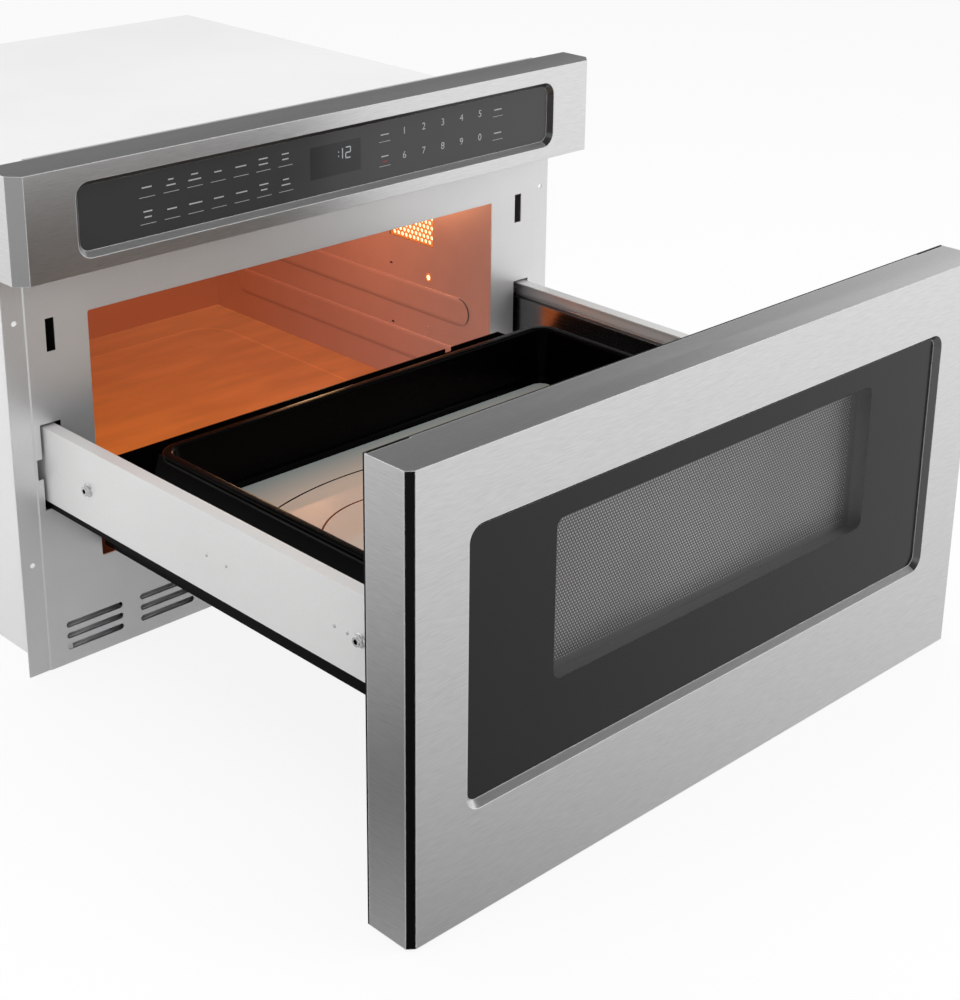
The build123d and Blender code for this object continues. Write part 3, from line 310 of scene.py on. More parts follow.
# bright zinc plate on rolled sections: smooth, with faint rolling lines along the drawer's travel
zincPlate = grainedMaterial("zincPlatedRolledSteel", {
    "dark": "#b4b4b6", "light": "#c4c4c5", "grainMm": 1.5, "stretch": (1, 0.02, 1), "rough": (0.16, 0.22),
    "bumpMm": 0.0015, "edgeMm": 0.4, "fixed": {"Metallic": 1.0}})
dress(zincPlate, "cavity_supports", "case_screws", "fan_shroud", "tray_beams", *sides("slide_bracket"),
      *sides("slide_outer"), *sides("slide_middle"), *sides("slide_inner"), *sides("door_hook"))

# hardened steel of the balls and the gear, ground and oiled
gearSteel = grainedMaterial("hardenedSteelOiled", {
    "dark": "#7d7d80", "light": "#9a9a9d", "grainMm": 0.5, "rough": (0.18, 0.3), "bumpMm": 0.004,
    "fixed": {"Metallic": 1.0}})
dress(gearSteel, "drive_pinion", *sides("ball_cage_outer"), *sides("ball_cage_inner"))

# hot-dipped aluminised sheet: dull silver with soft spangle
aluminised = grainedMaterial("aluminisedSheet", {
    "dark": "#a6a7a8", "light": "#bdbebf", "grainMm": 2.5, "patchMm": 30, "rough": (0.35, 0.5),
    "bumpMm": 0.01, "fixed": {"Metallic": 0.9}})
dress(aluminised, "waveguide", "stirrer_motor", "magnetron", "stirrer", "fan_motor", "capacitor",
      "lamp_housing")

# lamination steel dipped in varnish
dress(grainedMaterial("varnishedLaminations", {
    "dark": "#3c3a38", "light": "#4c4a47", "grainMm": 0.5, "stretch": (0.1, 1, 0.1), "rough": (0.4, 0.6),
    "bumpMm": 0.05}), "power_transformer")
print("steel done")


# moulded glass-filled nylon: black with a fine spark grain
dress(grainedMaterial("glassFilledNylon", {
    "dark": "#0c0c0c", "light": "#191919", "grainMm": 0.6, "rough": (0.45, 0.6), "bumpMm": 0.02}),
    "display_module", "power_inlet", "fan_impeller", "drive_motor", "lamp_socket",
    *sides("interlock_switch"))

# green solder mask over woven glass
dress(grainedMaterial("circuitBoardLacquer", {
    "dark": "#0e3a20", "light": "#175030", "grainMm": 0.8, "rough": (0.3, 0.45), "bumpMm": 0.01}),
    "touch_board", "power_board")

# satin black paint on drawn sheet
blackPaint = grainedMaterial("satinBlackPaint", {
    "dark": "#030303", "light": "#060606", "grainMm": 1.4, "rough": (0.36, 0.46), "bumpMm": 0.004,
    "fixed": {"Specular IOR Level": 0.08}})
dress(blackPaint, "tray_carrier", "choke_cover", "drawer_rack")

# vitreous enamel, fired black: deep and smooth, so it shows little but its lit edges
blackEnamel = grainedMaterial("blackVitreousEnamel", {
    "dark": "#010101", "light": "#030303", "grainMm": 9, "patchMm": 140, "rough": (0.20, 0.28),
    "bumpMm": 0.01, "fixed": {"Specular IOR Level": 0.07}})
dress(blackEnamel, "tray_basin")

# polypropylene plate in the cavity's ceiling, seen in the lamp's light
dress(grainedMaterial("heatProofPolypropylene", {
    "dark": "#9c6a4c", "light": "#a97353", "grainMm": 2, "rough": (0.4, 0.5), "bumpMm": 0.02}),
    "stirrer_cover")

# clear soda glass with a little tint from the lamp inside
lampGlass = grainedMaterial("lampGlass", {
    "dark": "#ffe2a8", "light": "#fff0cc", "grainMm": 4, "rough": (0.08, 0.15), "bumpMm": 0.01,
    "fixed": {"Emission Color": linear("#ffd98a"), "Emission Strength": 2.0}})
dress(lampGlass, "cavity_lamp")
print("plastics done")


cavityLook = {
    "floorNear": "#e0812a", "floorFar": "#8c4622", "floorRight": "#b0683e", "floorRightShare": 0.6,
    "wallBack": "#985436", "wallFront": "#a2766a", "wallBackShare": 0.7, "outside": "#6a6a6a",
    "floorDeepM": (-0.20, 0.13), "sillShadeM": (-0.220, -0.150), "sillTone": 0.02, "flangeMm": 9.0,
    "overMm": 0.5, "waveMm": 22, "waveStretch": (0.25, 1, 1), "waveTone": (0.02, 0.09),
    "rough": (0.30, 0.42), "bumpMm": 0.03, "bumpStrength": 0.5, "edgeMm": 0.8,
    "ribsMm": (178.5, 127.0), "ribLongMm": (-241.0, 120.0), "ribTallMm": 27.0, "ribRound": 0.98,
    "ribTone": (0.66, 1.25), "ribEdgeMm": 4.0,
    "floorStep": {"xMm": (-176, 176), "yMm": (-226, 112), "radiusMm": 34, "wideMm": 3.0, "tone": 1.16},
    "fixed": {"Metallic": 0.3, "Specular IOR Level": 0.4, "Emission Strength": 0.5},
}


def cavityStainless():
    # bare stainless sheet, its colour painted with the lamp's warm light and shade: amber floor, darker
    # deeper in, wall rosy near the front. A part of its colour is a painted glow, for the light that goes to
    # and fro between the walls. Its outer side is plain grey.
    look = cavityLook
    material, add, shader, place = startMaterial("stainlessCavitySheet", look)
    spot = add("SeparateXYZ", links={"Vector": place})
    x, y, z = (spot.outputs[axis] for axis in "XYZ")
    lowest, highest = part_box("cavity_liner")
    forward = add("MapRange", span(highest.y * look["wallBackShare"], lowest.y), {"Value": y})
    across = add("MapRange", span(lowest.x, highest.x * look["floorRightShare"]), {"Value": x})
    floorTop = lowest.z + (look["flangeMm"] + look["overMm"]) / 1000
    onFloor = add("Math LESS_THAN", {1: floorTop}, {0: z})
    wave = add("Mapping", {"Scale": look["waveStretch"]}, {"Vector": place})
    streak = add("TexNoise", {"Scale": 1000 / look["waveMm"], "Detail": 3.0}, {"Vector": wave})
    colour = add("MixRGB", twoHex(look["wallBack"], look["wallFront"]), {"Fac": forward})
    # each pressed rib gets a painted highlight on its upper edge and a painted shade on its lower one, as a
    # raised band under the lamp has
    sideways = add("CombineXYZ", links={"X": y, "Z": z})
    half, edge = look["ribTallMm"] / 2000, look["ribEdgeMm"] / 1000
    under, over = look["ribTone"]
    for middle in metres(look["ribsMm"]):
        bottom, top = middle - half, middle + half
        onRib = rectangleMask(add, sideways, metres(look["ribLongMm"]), (bottom, top),
                              half * look["ribRound"])
        for start, end, first, last in ((bottom, bottom + edge, under, 1.0), (top - edge, top, 1.0, over)):
            shade = add("MapRange", span(start, end, first, last), {"Value": z})
            shaded = add("VectorMath SCALE", links={0: colour, "Scale": shade})
            colour = add("MixRGB", links={"Fac": onRib, "Color1": colour, "Color2": shaded})
    near, far = look["floorDeepM"]
    deep = add("MapRange", span(near, far), {"Value": y})
    length = add("MixRGB", twoHex(look["floorNear"], look["floorFar"]), {"Fac": deep})
    width = add("MixRGB", {"Color2": linear(look["floorRight"])}, {"Fac": across, "Color1": length})
    # the floor's pressed step gets a thin painted highlight line, and the sill a painted shade under the
    # drawer
    step = look["floorStep"]
    level = add("CombineXYZ", links={"X": x, "Z": y})
    rings = [rectangleMask(add, level, metres(step["xMm"]), metres(step["yMm"]),
                           step["radiusMm"] / 1000 + grow, grow) for grow in (0.0, step["wideMm"] / 1000)]
    line = add("Math SUBTRACT", links={0: rings[1], 1: rings[0]})
    lift = add("MapRange", span(0, 1, 1.0, step["tone"]), {"Value": line})
    near, far = look["sillShadeM"]
    sill = add("MapRange", span(near, far, look["sillTone"]), {"Value": y})
    part = add("Math MULTIPLY", links={0: lift, 1: sill})
    ground = add("VectorMath SCALE", links={0: width, "Scale": part})
    flat = add("MixRGB", links={"Fac": onFloor, "Color1": colour, "Color2": ground})
    # streaks: the colour times 1 + amount * swing, where swing goes from -1 to 1 and the floor's is stronger
    onWall, onGround = look["waveTone"]
    amount = add("MapRange", span(0, 1, onWall, onGround), {"Value": onFloor})
    swing = add("MapRange", span(*middleEnds, -1, 1), {"Value": streak})
    tone = add("Math MULTIPLY_ADD", {2: 1.0}, {0: swing, 1: amount})
    toned = add("VectorMath SCALE", links={0: flat, "Scale": tone})
    # a face looks inwards where its normal points back to the middle of the box
    centre = (0.0, (lowest.y + highest.y) / 2, (lowest.z + highest.z) / 2)
    coords = add("TexCoord")
    reach = add("VectorMath SUBTRACT", {1: centre}, {0: place})
    along = add("VectorMath DOT_PRODUCT", links={0: reach, 1: coords.outputs["Normal"]})
    inwards = add("Math LESS_THAN", {1: 0.0}, {0: along})
    base = add("MixRGB", {"Color1": linear(look["outside"])}, {"Fac": inwards, "Color2": toned})
    glow = add("MixRGB", {"Color1": black}, {"Fac": inwards, "Color2": toned})
    connect(shader, {"Base Color": base, "Emission Color": glow})
    setRough(add, shader, streak, look["rough"])
    setBump(add, shader, streak, look["bumpMm"], look["bumpStrength"], look["edgeMm"])
    return material


cavitySheet = cavityStainless()
dress(cavitySheet, "cavity_liner")

# the same steel, its colour painted with the warm light of the lamp behind it, and a painted glow
grilleLook = {"pitchMm": 5.6, "holeMm": 4.3, "sides": 12, "thickMm": 0.8, "lapMm": 6.0, "filled": 0.02}
grilleSheet = grainedMaterial("stainlessGrilleSheet", {
    "dark": "#c8763c", "light": "#d08046", "grainMm": 3, "rough": (0.3, 0.4), "bumpMm": 0.005,
    "fixed": {"Metallic": 0.3, "Emission Color": linear("#d07a40"), "Emission Strength": 0.5}})


def lampGrille():
    # a sheet of hexagonal cells, each a ring from the cell's edge in to a round hole: r goes from the
    # hexagon's radius to the hole's; cells that reach past the wall's window have their hole filled
    low, high = (np.array(corner)[1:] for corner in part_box("lamp_grille"))
    pitch, hole, count = grilleLook["pitchMm"] / 1000, grilleLook["holeMm"] / 2000, grilleLook["sides"]
    halfY, halfZ = (high - low) / 2 - grilleLook["lapMm"] / 1000
    rowStep = pitch * sqrt(3) / 2
    rowCount, columnCount = int(halfZ / rowStep) + 1, int(halfY / pitch) + 1
    rows, columns = np.meshgrid(np.arange(-rowCount, rowCount + 1), np.arange(-columnCount, columnCount + 1),
                                indexing="ij")
    y = (columns + (rows % 2) / 2).ravel() * pitch
    z = rows.ravel() * rowStep
    whole = (np.abs(y) + hole < halfY) & (np.abs(z) + hole < halfZ)
    turn = roundTurn(count) + pi / 6
    ring = np.stack([np.sin(turn), np.cos(turn)], -1)
    edge = ring * (pitch / 2 * hexagonReach(turn))[:, None]
    inner = ring * np.where(whole, hole, hole * grilleLook["filled"])[:, None, None]
    middle = np.stack([y, z], -1)[:, None, :] + (low + high) / 2
    near = lowCorner("lamp_grille").x
    far = near + grilleLook["thickMm"] / 1000
    loops = [(near, edge + middle), (near, inner + middle), (far, inner + middle), (far, edge + middle)]
    points = np.stack([np.insert(loop, 0, x, axis=-1) for x, loop in loops], 1)
    quads = gridFaces(4, count, closed=True)
    faces = (quads[None] + np.arange(len(y))[:, None, None] * 4 * count).reshape(-1, 4)
    piece = newPiece("lampGrillePerforated", points.reshape(-1, 3), faces, grilleSheet, "oven")
    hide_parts("lamp_grille")


# mica, split thin: warm white where the bulb shines through it
glowLook = {"behindMm": 1.4, "marginMm": 7.0}
micaPane = grainedMaterial("lampMicaPane", {
    "dark": "#fff0c8", "light": "#fff8e0", "grainMm": 5, "rough": (0.4, 0.5), "bumpMm": 0.01,
    "fixed": {"Emission Color": linear("#fff0c4"), "Emission Strength": 1.1}})


def lampGlow():
    # a flat pane just behind the grille
    low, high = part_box("lamp_grille")
    x, margin = low.x + glowLook["behindMm"] / 1000, glowLook["marginMm"] / 1000
    points = [(x, y, z) for y in (low.y + margin, high.y - margin) for z in (low.z + margin, high.z - margin)]
    newPiece("lampGlow", points, [(0, 1, 3, 2)], micaPane, "oven")


# small fittings on the right wall, at (y, z) places; profiles are of (rise, radius) off the wall
fittingLook = {
    "behindGrilleMm": 1.0, "steps": 24, "plugReach": 0.98,
    "plugMm": (-182.3, 147.0), "plugRadiusMm": 5.5, "plugRiseMm": 0.8, "plugLiftMm": 0.02, "plugSteps": 7,
    "portMm": (-184.0, 202.5), "port": ((0.12, 2.6), (0.12, 0.052)),
    "portRing": ((0.02, 4.4), (0.5, 4.0), (0.5, 2.9), (0.1, 2.6)),
    "clipsMm": ((-132.4, 144.1), (-129.9, 205.1)), "clipSteps": 10, "clipStretch": (1.05, 0.4),
    "clip": ((0.02, 2.0), (0.7, 1.6), (0.9, 0.6), (0.9, 0.04)),
}


def wallFittings():
    # a domed plug, a sensor port with a painted glow and its ring, and two clip heads. The dome at angle a
    # has the radius r * cos(a) and the rise h * sin(a), and stops just short of its pole.
    look = fittingLook
    wall = lowCorner("lamp_grille").x - look["behindGrilleMm"] / 1000
    round_, clipTurn = roundTurn(look["steps"]), roundTurn(look["clipSteps"])

    def spotAt(placeMm):
        return [(-1, np.array([wall, *metres(placeMm)]))]

    dome = [(look["plugLiftMm"] + look["plugRiseMm"] * sin(a), look["plugRadiusMm"] * cos(a))
            for a in np.linspace(0, look["plugReach"] * pi / 2, look["plugSteps"])]
    turnedPiece("wallPlug", spotAt(look["plugMm"]), dome, round_, cavitySheet, "oven")
    port = spotAt(look["portMm"])
    turnedPiece("sensorPortRing", port, look["portRing"], round_, grilleSheet, "oven")
    turnedPiece("sensorPort", port, look["port"], round_, micaPane, "oven")
    for number, placeMm in enumerate(look["clipsMm"], 1):
        turnedPiece(f"wallClip{number}", spotAt(placeMm), look["clip"], clipTurn, blackPaint, "oven",
                    stretch=look["clipStretch"])


lampGrille()
lampGlow()
wallFittings()
print("cavity done")


doorGlassLook = {
    "print": "#0c0c0c", "streak": "#121212", "clear": 0.16, "rough": (0.10, 0.16), "lapMm": 6.0,
    "cornerMm": 7.0, "backWiderMm": 6.0, "frontMm": 0.5, "dustScale": 25.0,
    "fixed": {"Specular IOR Level": 0.38, "IOR": 1.5},
}


def sightBox():
    # the sight window's (low, high) in x and z: the mesh's box less the lap that its frame covers
    lowest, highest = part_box("window_mesh")
    lap = doorGlassLook["lapMm"] / 1000
    return (lowest.x + lap, highest.x - lap), (lowest.z + lap, highest.z - lap)


def doorGlass():
    # float glass, printed black on its back round a sight window with a light tint
    look = doorGlassLook
    material, add, shader, place = startMaterial("printedFloatGlass", look)
    # on its back the clear part is wider, so that the glass's thickness shows no dark rim
    corner = look["cornerMm"] / 1000
    front = rectangleMask(add, place, *sightBox(), corner)
    back = rectangleMask(add, place, *sightBox(), corner, look["backWiderMm"] / 1000)
    spot = add("SeparateXYZ", links={"Vector": place})
    frontEnd = lowCorner("door_glass").y + look["frontMm"] / 1000
    isBack = add("Math GREATER_THAN", {1: frontEnd}, {0: spot.outputs["Y"]})
    seenBack = add("Math MULTIPLY", links={0: back, 1: isBack})
    clear = add("Math MAXIMUM", links={0: front, 1: seenBack})
    dust = add("TexNoise", {"Scale": look["dustScale"], "Detail": 3.0}, {"Vector": place})
    dark = add("MixRGB", twoHex(look["print"], look["streak"]), {"Fac": dust})
    alpha = add("MapRange", span(0, 1, 1.0, look["clear"]), {"Value": clear})
    connect(shader, {"Base Color": dark, "Alpha": alpha})
    setRough(add, shader, dust, look["rough"], noiseEnds)
    return material


dress(doorGlass(), "door_glass")

meshLook = {
    "pitchMm": 2.6, "holeMm": 1.5, "holeEdge": (1.25, 0.8), "sheet": "#747474", "holeDim": "#c4c4c4",
    "holeLit": "#ffffff", "glowScale": 9.0, "rough": (0.35, 0.8), "bumpMm": -0.2, "fixed": {"Metallic": 0.2},
}


def perforatedMesh():
    # black-oxide sheet with round holes in a triangular pattern. Bright light on it and beyond it shows the
    # sheet grey and the holes pale.
    look = meshLook
    material, add, shader, place = startMaterial("perforatedBlackSheet", look)
    pitch = look["pitchMm"] / 1000
    spot = add("SeparateXYZ", links={"Vector": place})
    away = []
    for shift in (0.0, 0.5):
        # the distance to the nearest hole centre of one of two rectangular grids, half a pitch apart; the
        # 100 cells that are added keep what the fraction is taken of above zero
        parts = []
        for axis, step in (("X", pitch), ("Z", pitch * sqrt(3))):
            over = add("Math MULTIPLY_ADD", {1: 1 / step, 2: shift + 100.0}, {0: spot.outputs[axis]})
            cell = add("Math FRACT", links={0: over})
            off = add("Math SUBTRACT", {1: 0.5}, {0: cell})
            parts.append(add("Math MULTIPLY", {1: step}, {0: off}))
        both = add("CombineXYZ", links={"X": parts[0], "Y": parts[1]})
        away.append(add("VectorMath LENGTH", links={0: both}))
    near = add("Math MINIMUM", links={0: away[0], 1: away[1]})
    outer, inner = (look["holeMm"] / 2000 * share for share in look["holeEdge"])
    hole = add("MapRange", span(outer, inner), {"Value": near})
    glow = add("TexNoise", {"Scale": look["glowScale"], "Detail": 1.0}, {"Vector": place})
    seen = add("MixRGB", twoHex(look["holeDim"], look["holeLit"]), {"Fac": glow})
    colour = add("MixRGB", {"Color1": linear(look["sheet"])}, {"Fac": hole, "Color2": seen})
    connect(shader, {"Base Color": colour})
    setRough(add, shader, hole, look["rough"])
    setBump(add, shader, hole, look["bumpMm"])
    return material


dress(perforatedMesh(), "window_mesh")

# the collar's pale grey is a painted light
panLook = {"black": "#070707", "collarPaintedLight": "#8a8a8a", "collarMm": 18.0, "cornerMm": 1.0, "grainScale": 700.0,
           "rough": (0.36, 0.48), "bumpMm": 0.004, "fixed": {"Specular IOR Level": 0.25}}


def paintedPan():
    # the door's inner pan: satin black, but painted pale grey inside the collar round the sight window, a
    # painted light where the collar is lit
    look = panLook
    material, add, shader, place = startMaterial("satinBlackPan", look)
    inside = rectangleMask(add, place, *sightBox(), look["cornerMm"] / 1000, look["collarMm"] / 1000)
    grain = add("TexNoise", {"Scale": look["grainScale"], "Detail": 2.0}, {"Vector": place})
    colour = add("MixRGB", twoHex(look["black"], look["collarPaintedLight"]), {"Fac": inside})
    connect(shader, {"Base Color": colour})
    setRough(add, shader, grain, look["rough"])
    setBump(add, shader, grain, look["bumpMm"])
    return material


dress(paintedPan(), "door_inner_frame")

# clear float glass at the drawer's inner side
dress(grainedMaterial("floatGlass", {
    "dark": "#2a2c2d", "light": "#303234", "grainMm": 30, "rough": (0.05, 0.1), "bumpMm": 0.005,
    "fixed": {"Alpha": 0.5, "IOR": 1.5}}), "inner_glass")

panelGlassLook = {
    "print": "#404041", "display": "#2e2f30", "displayXMm": (-27, 27), "displayZMm": (372, 399),
    "cornerMm": 0.5, "dustScale": 30.0, "rough": (0.16, 0.24),
    "fixed": {"Specular IOR Level": 0.5, "IOR": 1.5},
}


def panelGlass():
    # tempered glass with a charcoal print behind it, and a darker window for the display
    look = panelGlassLook
    material, add, shader, place = startMaterial("printedTemperedGlass", look)
    inside = rectangleMask(add, place, metres(look["displayXMm"]), metres(look["displayZMm"]),
                           look["cornerMm"] / 1000)
    dust = add("TexNoise", {"Scale": look["dustScale"], "Detail": 3.0}, {"Vector": place})
    colour = add("MixRGB", twoHex(look["print"], look["display"]), {"Fac": inside})
    connect(shader, {"Base Color": colour})
    setRough(add, shader, dust, look["rough"], noiseEnds)
    return material


dress(panelGlass(), "control_glass")
print("glass done")


printWhite = grainedMaterial("screenPrintedInk", {
    "dark": "#b4b4b4", "light": "#c6c6c6", "grainMm": 0.5, "rough": (0.5, 0.6), "bumpMm": 0.002})
printRed = grainedMaterial("screenPrintedRed", {
    "dark": "#8c3a38", "light": "#9c4442", "grainMm": 0.5, "rough": (0.5, 0.6), "bumpMm": 0.002})

keyLook = {
    "proudMm": 0.06, "dashMm": 1.0, "thinMm": 0.4, "rowsMm": (397.0, 376.0),
    "columnsMm": [-185.5 + 22.2 * k for k in range(7)], "underMm": 7.6, "lineMm": 14.5, "labelUpMm": 2.2,
    "labelsMm": (((9.0,), (8.0, 6.5)), ((5.0, 8.5), (9.0,)), ((6.5, 12.0), (12.5,)), ((7.0,), (9.5,)),
                 ((10.5,), (11.0,)), ((9.0, 9.0), (9.0, 6.5)), ((7.0, 6.5), (6.0, 9.0))),
    "endsMm": (53.4, 185.5), "endUnderMm": 6.0, "endLineMm": 12.5, "endLabelMm": 9.0,
    "stopLabelMm": (2.4, 8.0), "stopRedMm": (-2.2, 5.5),
    "digitRows": ("12345", "67890"), "digitsFromMm": 75.3, "digitPitchMm": 22.1, "digitHeightMm": 6.2,
    "digitDownMm": 0.5, "fontShare": 1.4,
}


def glassFront():
    # the y of what is printed on the panel's glass, just proud of it
    return lowCorner("control_glass").y - keyLook["proudMm"] / 1000


def plates(name, bars, material):
    # flat rectangles on the glass, each of (x, z, width, height) in millimetres
    bars = np.asarray(bars, float) / 1000
    corner = np.array([(-1, -1), (1, -1), (1, 1), (-1, 1)]) / 2
    flat = bars[:, None, :2] + corner * bars[:, None, 2:]
    points = np.insert(flat, 1, glassFront(), axis=-1).reshape(-1, 3)
    newPiece(name, points, np.arange(len(points)).reshape(-1, 4), material, "oven")


def keyMarks():
    # each key has an underline and one or two short dashes
    look, bars = keyLook, []
    dash, thin = look["dashMm"], look["thinMm"]
    for x, labels in zip(look["columnsMm"], look["labelsMm"]):
        for z, widths in zip(look["rowsMm"], labels):
            bars.append((x, z - look["underMm"], look["lineMm"], thin))
            up = look["labelUpMm"] if len(widths) > 1 else 0
            bars += [(x, z + shift, width, dash) for shift, width in zip((up, -up), widths)]
    left, right = look["endsMm"]
    top, bottom = look["rowsMm"]
    for x, z in ((left, top), (left, bottom), (right, top), (right, bottom)):
        bars.append((x, z - look["endUnderMm"], look["endLineMm"], thin))
        if (x, z) != (left, bottom):
            bars.append((x, z, look["endLabelMm"], dash))
    up, width = look["stopLabelMm"]
    bars.append((left, bottom + up, width, dash))
    plates("keyMarks", bars, printWhite)
    # the stop key's lower dash is red
    up, width = look["stopRedMm"]
    plates("stopMark", [(left, bottom + up, width, dash)], printRed)


def keyDigits():
    # each digit is made a flat mesh, stood upright and put at its place on the glass
    points, faces = [], []
    for z, digits in zip(keyLook["rowsMm"], keyLook["digitRows"]):
        for place, digit in enumerate(digits):
            curve = bpy.data.curves.new("digit", "FONT")
            curve.body = digit
            curve.size = keyLook["digitHeightMm"] / 1000 * keyLook["fontShare"]
            curve.align_x = curve.align_y = "CENTER"
            holder = addObject("digit", curve)
            bpy.context.view_layer.update()
            shape = holder.evaluated_get(bpy.context.evaluated_depsgraph_get())
            mesh = bpy.data.meshes.new_from_object(shape)
            flat = np.zeros(len(mesh.vertices) * 3)
            mesh.vertices.foreach_get("co", flat)
            x = (keyLook["digitsFromMm"] + place * keyLook["digitPitchMm"]) / 1000
            faces += [[len(points) + i for i in p.vertices] for p in mesh.polygons]
            points += [(x + a, glassFront(), (z - keyLook["digitDownMm"]) / 1000 + b)
                       for a, b, _ in flat.reshape(-1, 3)]
            bpy.data.objects.remove(holder)
            bpy.data.meshes.remove(mesh)
    newPiece("keyDigits", points, faces, printWhite, "oven")


clockLook = {
    "digits": "12", "bars": {"1": "bc", "2": "abged"}, "leftMm": 2.0, "bottomMm": 384.5, "heightMm": 9.0,
    "widthMm": 5.2, "strokeMm": 1.0, "gapMm": 0.3, "pitchMm": 8.6, "dotsAt": (0.3, 0.7), "dotInMm": 1.0,
}
clockInk = grainedMaterial("displaySegments", {
    "dark": "#9fa4a6", "light": "#b4b9bb", "grainMm": 0.6, "rough": (0.5, 0.6), "bumpMm": 0.002,
    "fixed": {"Emission Color": linear("#aeb4b6"), "Emission Strength": 0.25}})


def clockDigits():
    # bars named a to g as on seven-segment displays, and two dots before the first digit
    look = clockLook
    w, h, s, left, bottom = (look[k] for k in ("widthMm", "heightMm", "strokeMm", "leftMm", "bottomMm"))
    level, upright = (w - look["gapMm"], s), (s, h / 2 - look["gapMm"])
    places = {"a": (w / 2, h, *level), "b": (w, h * 0.75, *upright), "c": (w, h * 0.25, *upright),
              "d": (w / 2, 0, *level), "e": (0, h * 0.25, *upright), "g": (w / 2, h / 2, *level)}
    bars = []
    for number, digit in enumerate(look["digits"]):
        for x, z, wide, tall in (places[bar] for bar in look["bars"][digit]):
            bars.append((left + number * look["pitchMm"] + x, bottom + z, wide, tall))
    bars += [(left + look["dotInMm"], bottom + h * share, s, s) for share in look["dotsAt"]]
    plates("clockDigits", bars, clockInk)


keyMarks()
keyDigits()
clockDigits()
print("control marks done")


ceramicLook = {
    "pale": "#c9b8a8", "warm": "#c8ab98", "cool": "#8f9694", "coolFrom": 0.85, "mistScale": 12.0,
    "rings": ((-75, -654, 253, "#14100f"), (-96, -523, 78, "#4a1714")), "lineMm": 0.9, "rough": (0.04, 0.07),
    "fixed": {"Specular IOR Level": 0.6},
}


def ceramicFloor():
    # glass ceramic, rolled and polished, with thin dark cooking rings printed on it: a ring is where the
    # distance to its centre is within lineMm of its radius
    look = ceramicLook
    material, add, shader, place = startMaterial("glassCeramicPlate", look)
    lowest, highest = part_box("ceramic_floor")
    spot = add("SeparateXYZ", links={"Vector": place})
    back = add("MapRange", span(lowest.y, highest.y), {"Value": spot.outputs["Y"]})
    mist = add("TexNoise", {"Scale": look["mistScale"], "Detail": 2.0}, {"Vector": place})
    body = add("MixRGB", twoHex(look["warm"], look["pale"]), {"Fac": mist})
    rear = add("MapRange", span(look["coolFrom"], 1.0), {"Value": back})
    colour = add("MixRGB", {"Color2": linear(look["cool"])}, {"Fac": rear, "Color1": body})
    for x, y, radius, ink in look["rings"]:
        centre = (x / 1000, y / 1000, highest.z)
        middle = add("VectorMath SUBTRACT", {1: centre}, {0: place})
        flat = add("VectorMath MULTIPLY", {1: (1, 1, 0)}, {0: middle})
        reach = add("VectorMath LENGTH", links={0: flat})
        off = add("Math SUBTRACT", {1: radius / 1000}, {0: reach})
        away = add("Math ABSOLUTE", links={0: off})
        line = add("Math LESS_THAN", {1: look["lineMm"] / 1000}, {0: away})
        colour = add("MixRGB", {"Color2": linear(ink)}, {"Fac": line, "Color1": colour})
    connect(shader, {"Base Color": colour})
    setRough(add, shader, mist, look["rough"])
    return material


dress(ceramicFloor(), "ceramic_floor")

ventLook = {"groupsMm": (-230.0, -158.7, -87.4, 87.4, 158.7, 230.0), "rowsMm": (14.5, 24.5, 34.5),
            "longMm": 53.0, "tallMm": 5.2, "riseShare": 1.2, "deepMm": 4.5, "sheetMm": 0.5, "steps": 6}


def ventBlades():
    # behind each slot of the frame a blade curves up and back: at angle t its depth is deep * sin(t), and its
    # height above the slot's lower edge is riseShare * tall * (1 - cos(t))
    look, tall = ventLook, ventLook["tallMm"]
    turn = np.linspace(0, pi / 2, look["steps"])
    x, z = (v.ravel()[:, None, None] for v in np.meshgrid(look["groupsMm"], look["rowsMm"], indexing="ij"))
    points = np.zeros((len(x), len(turn), 2, 3))
    points[..., 0] = (x + np.array([-1, 1]) * look["longMm"] / 2) / 1000
    points[..., 1] = highCorner("front_frame").y + look["deepMm"] / 1000 * np.sin(turn)[:, None]
    points[..., 2] = (z - tall / 2 + look["riseShare"] * tall * (1 - np.cos(turn))[:, None]) / 1000
    faces = gridFaces(len(turn), 2) + np.arange(len(x))[:, None, None] * 2 * len(turn)
    piece = newPiece("ventBlades", points.reshape(-1, 3), faces.reshape(-1, 4), frameZinc, "oven",
                     True)
    wall = piece.modifiers.new("sheet", "SOLIDIFY")
    wall.thickness = look["sheetMm"] / 1000
    wall.offset = 1


ventBlades()
print("vents done")

basinLook = {
    "rimMm": 9.0, "rimRadiusMm": 2.6, "hemMm": 5.2, "draftMm": 5.0, "footRadiusMm": 9.0, "floorInMm": 50,
    "floorUnderMm": 4.0, "wallMm": 2.0, "cornerMm": 22.0, "leastCornerMm": 6.0, "cornerSteps": 10,
    "rimSteps": 6, "footSteps": 7,
}


def roundedLoop(halfX, halfY, radius, steps):
    # the points of a rounded rectangle, with the same number of points whatever its size
    turn = np.linspace(0, pi / 2, steps)
    quarter = np.stack([np.cos(turn), np.sin(turn)], -1) * radius
    loop = []
    for number, (sx, sy) in enumerate(((1, 1), (-1, 1), (-1, -1), (1, -1))):
        a = number * pi / 2
        spun = quarter @ np.array([(cos(a), sin(a)), (-sin(a), cos(a))])
        loop.append(spun + np.array([sx * (halfX - radius), sy * (halfY - radius)]))
    return np.concatenate(loop)


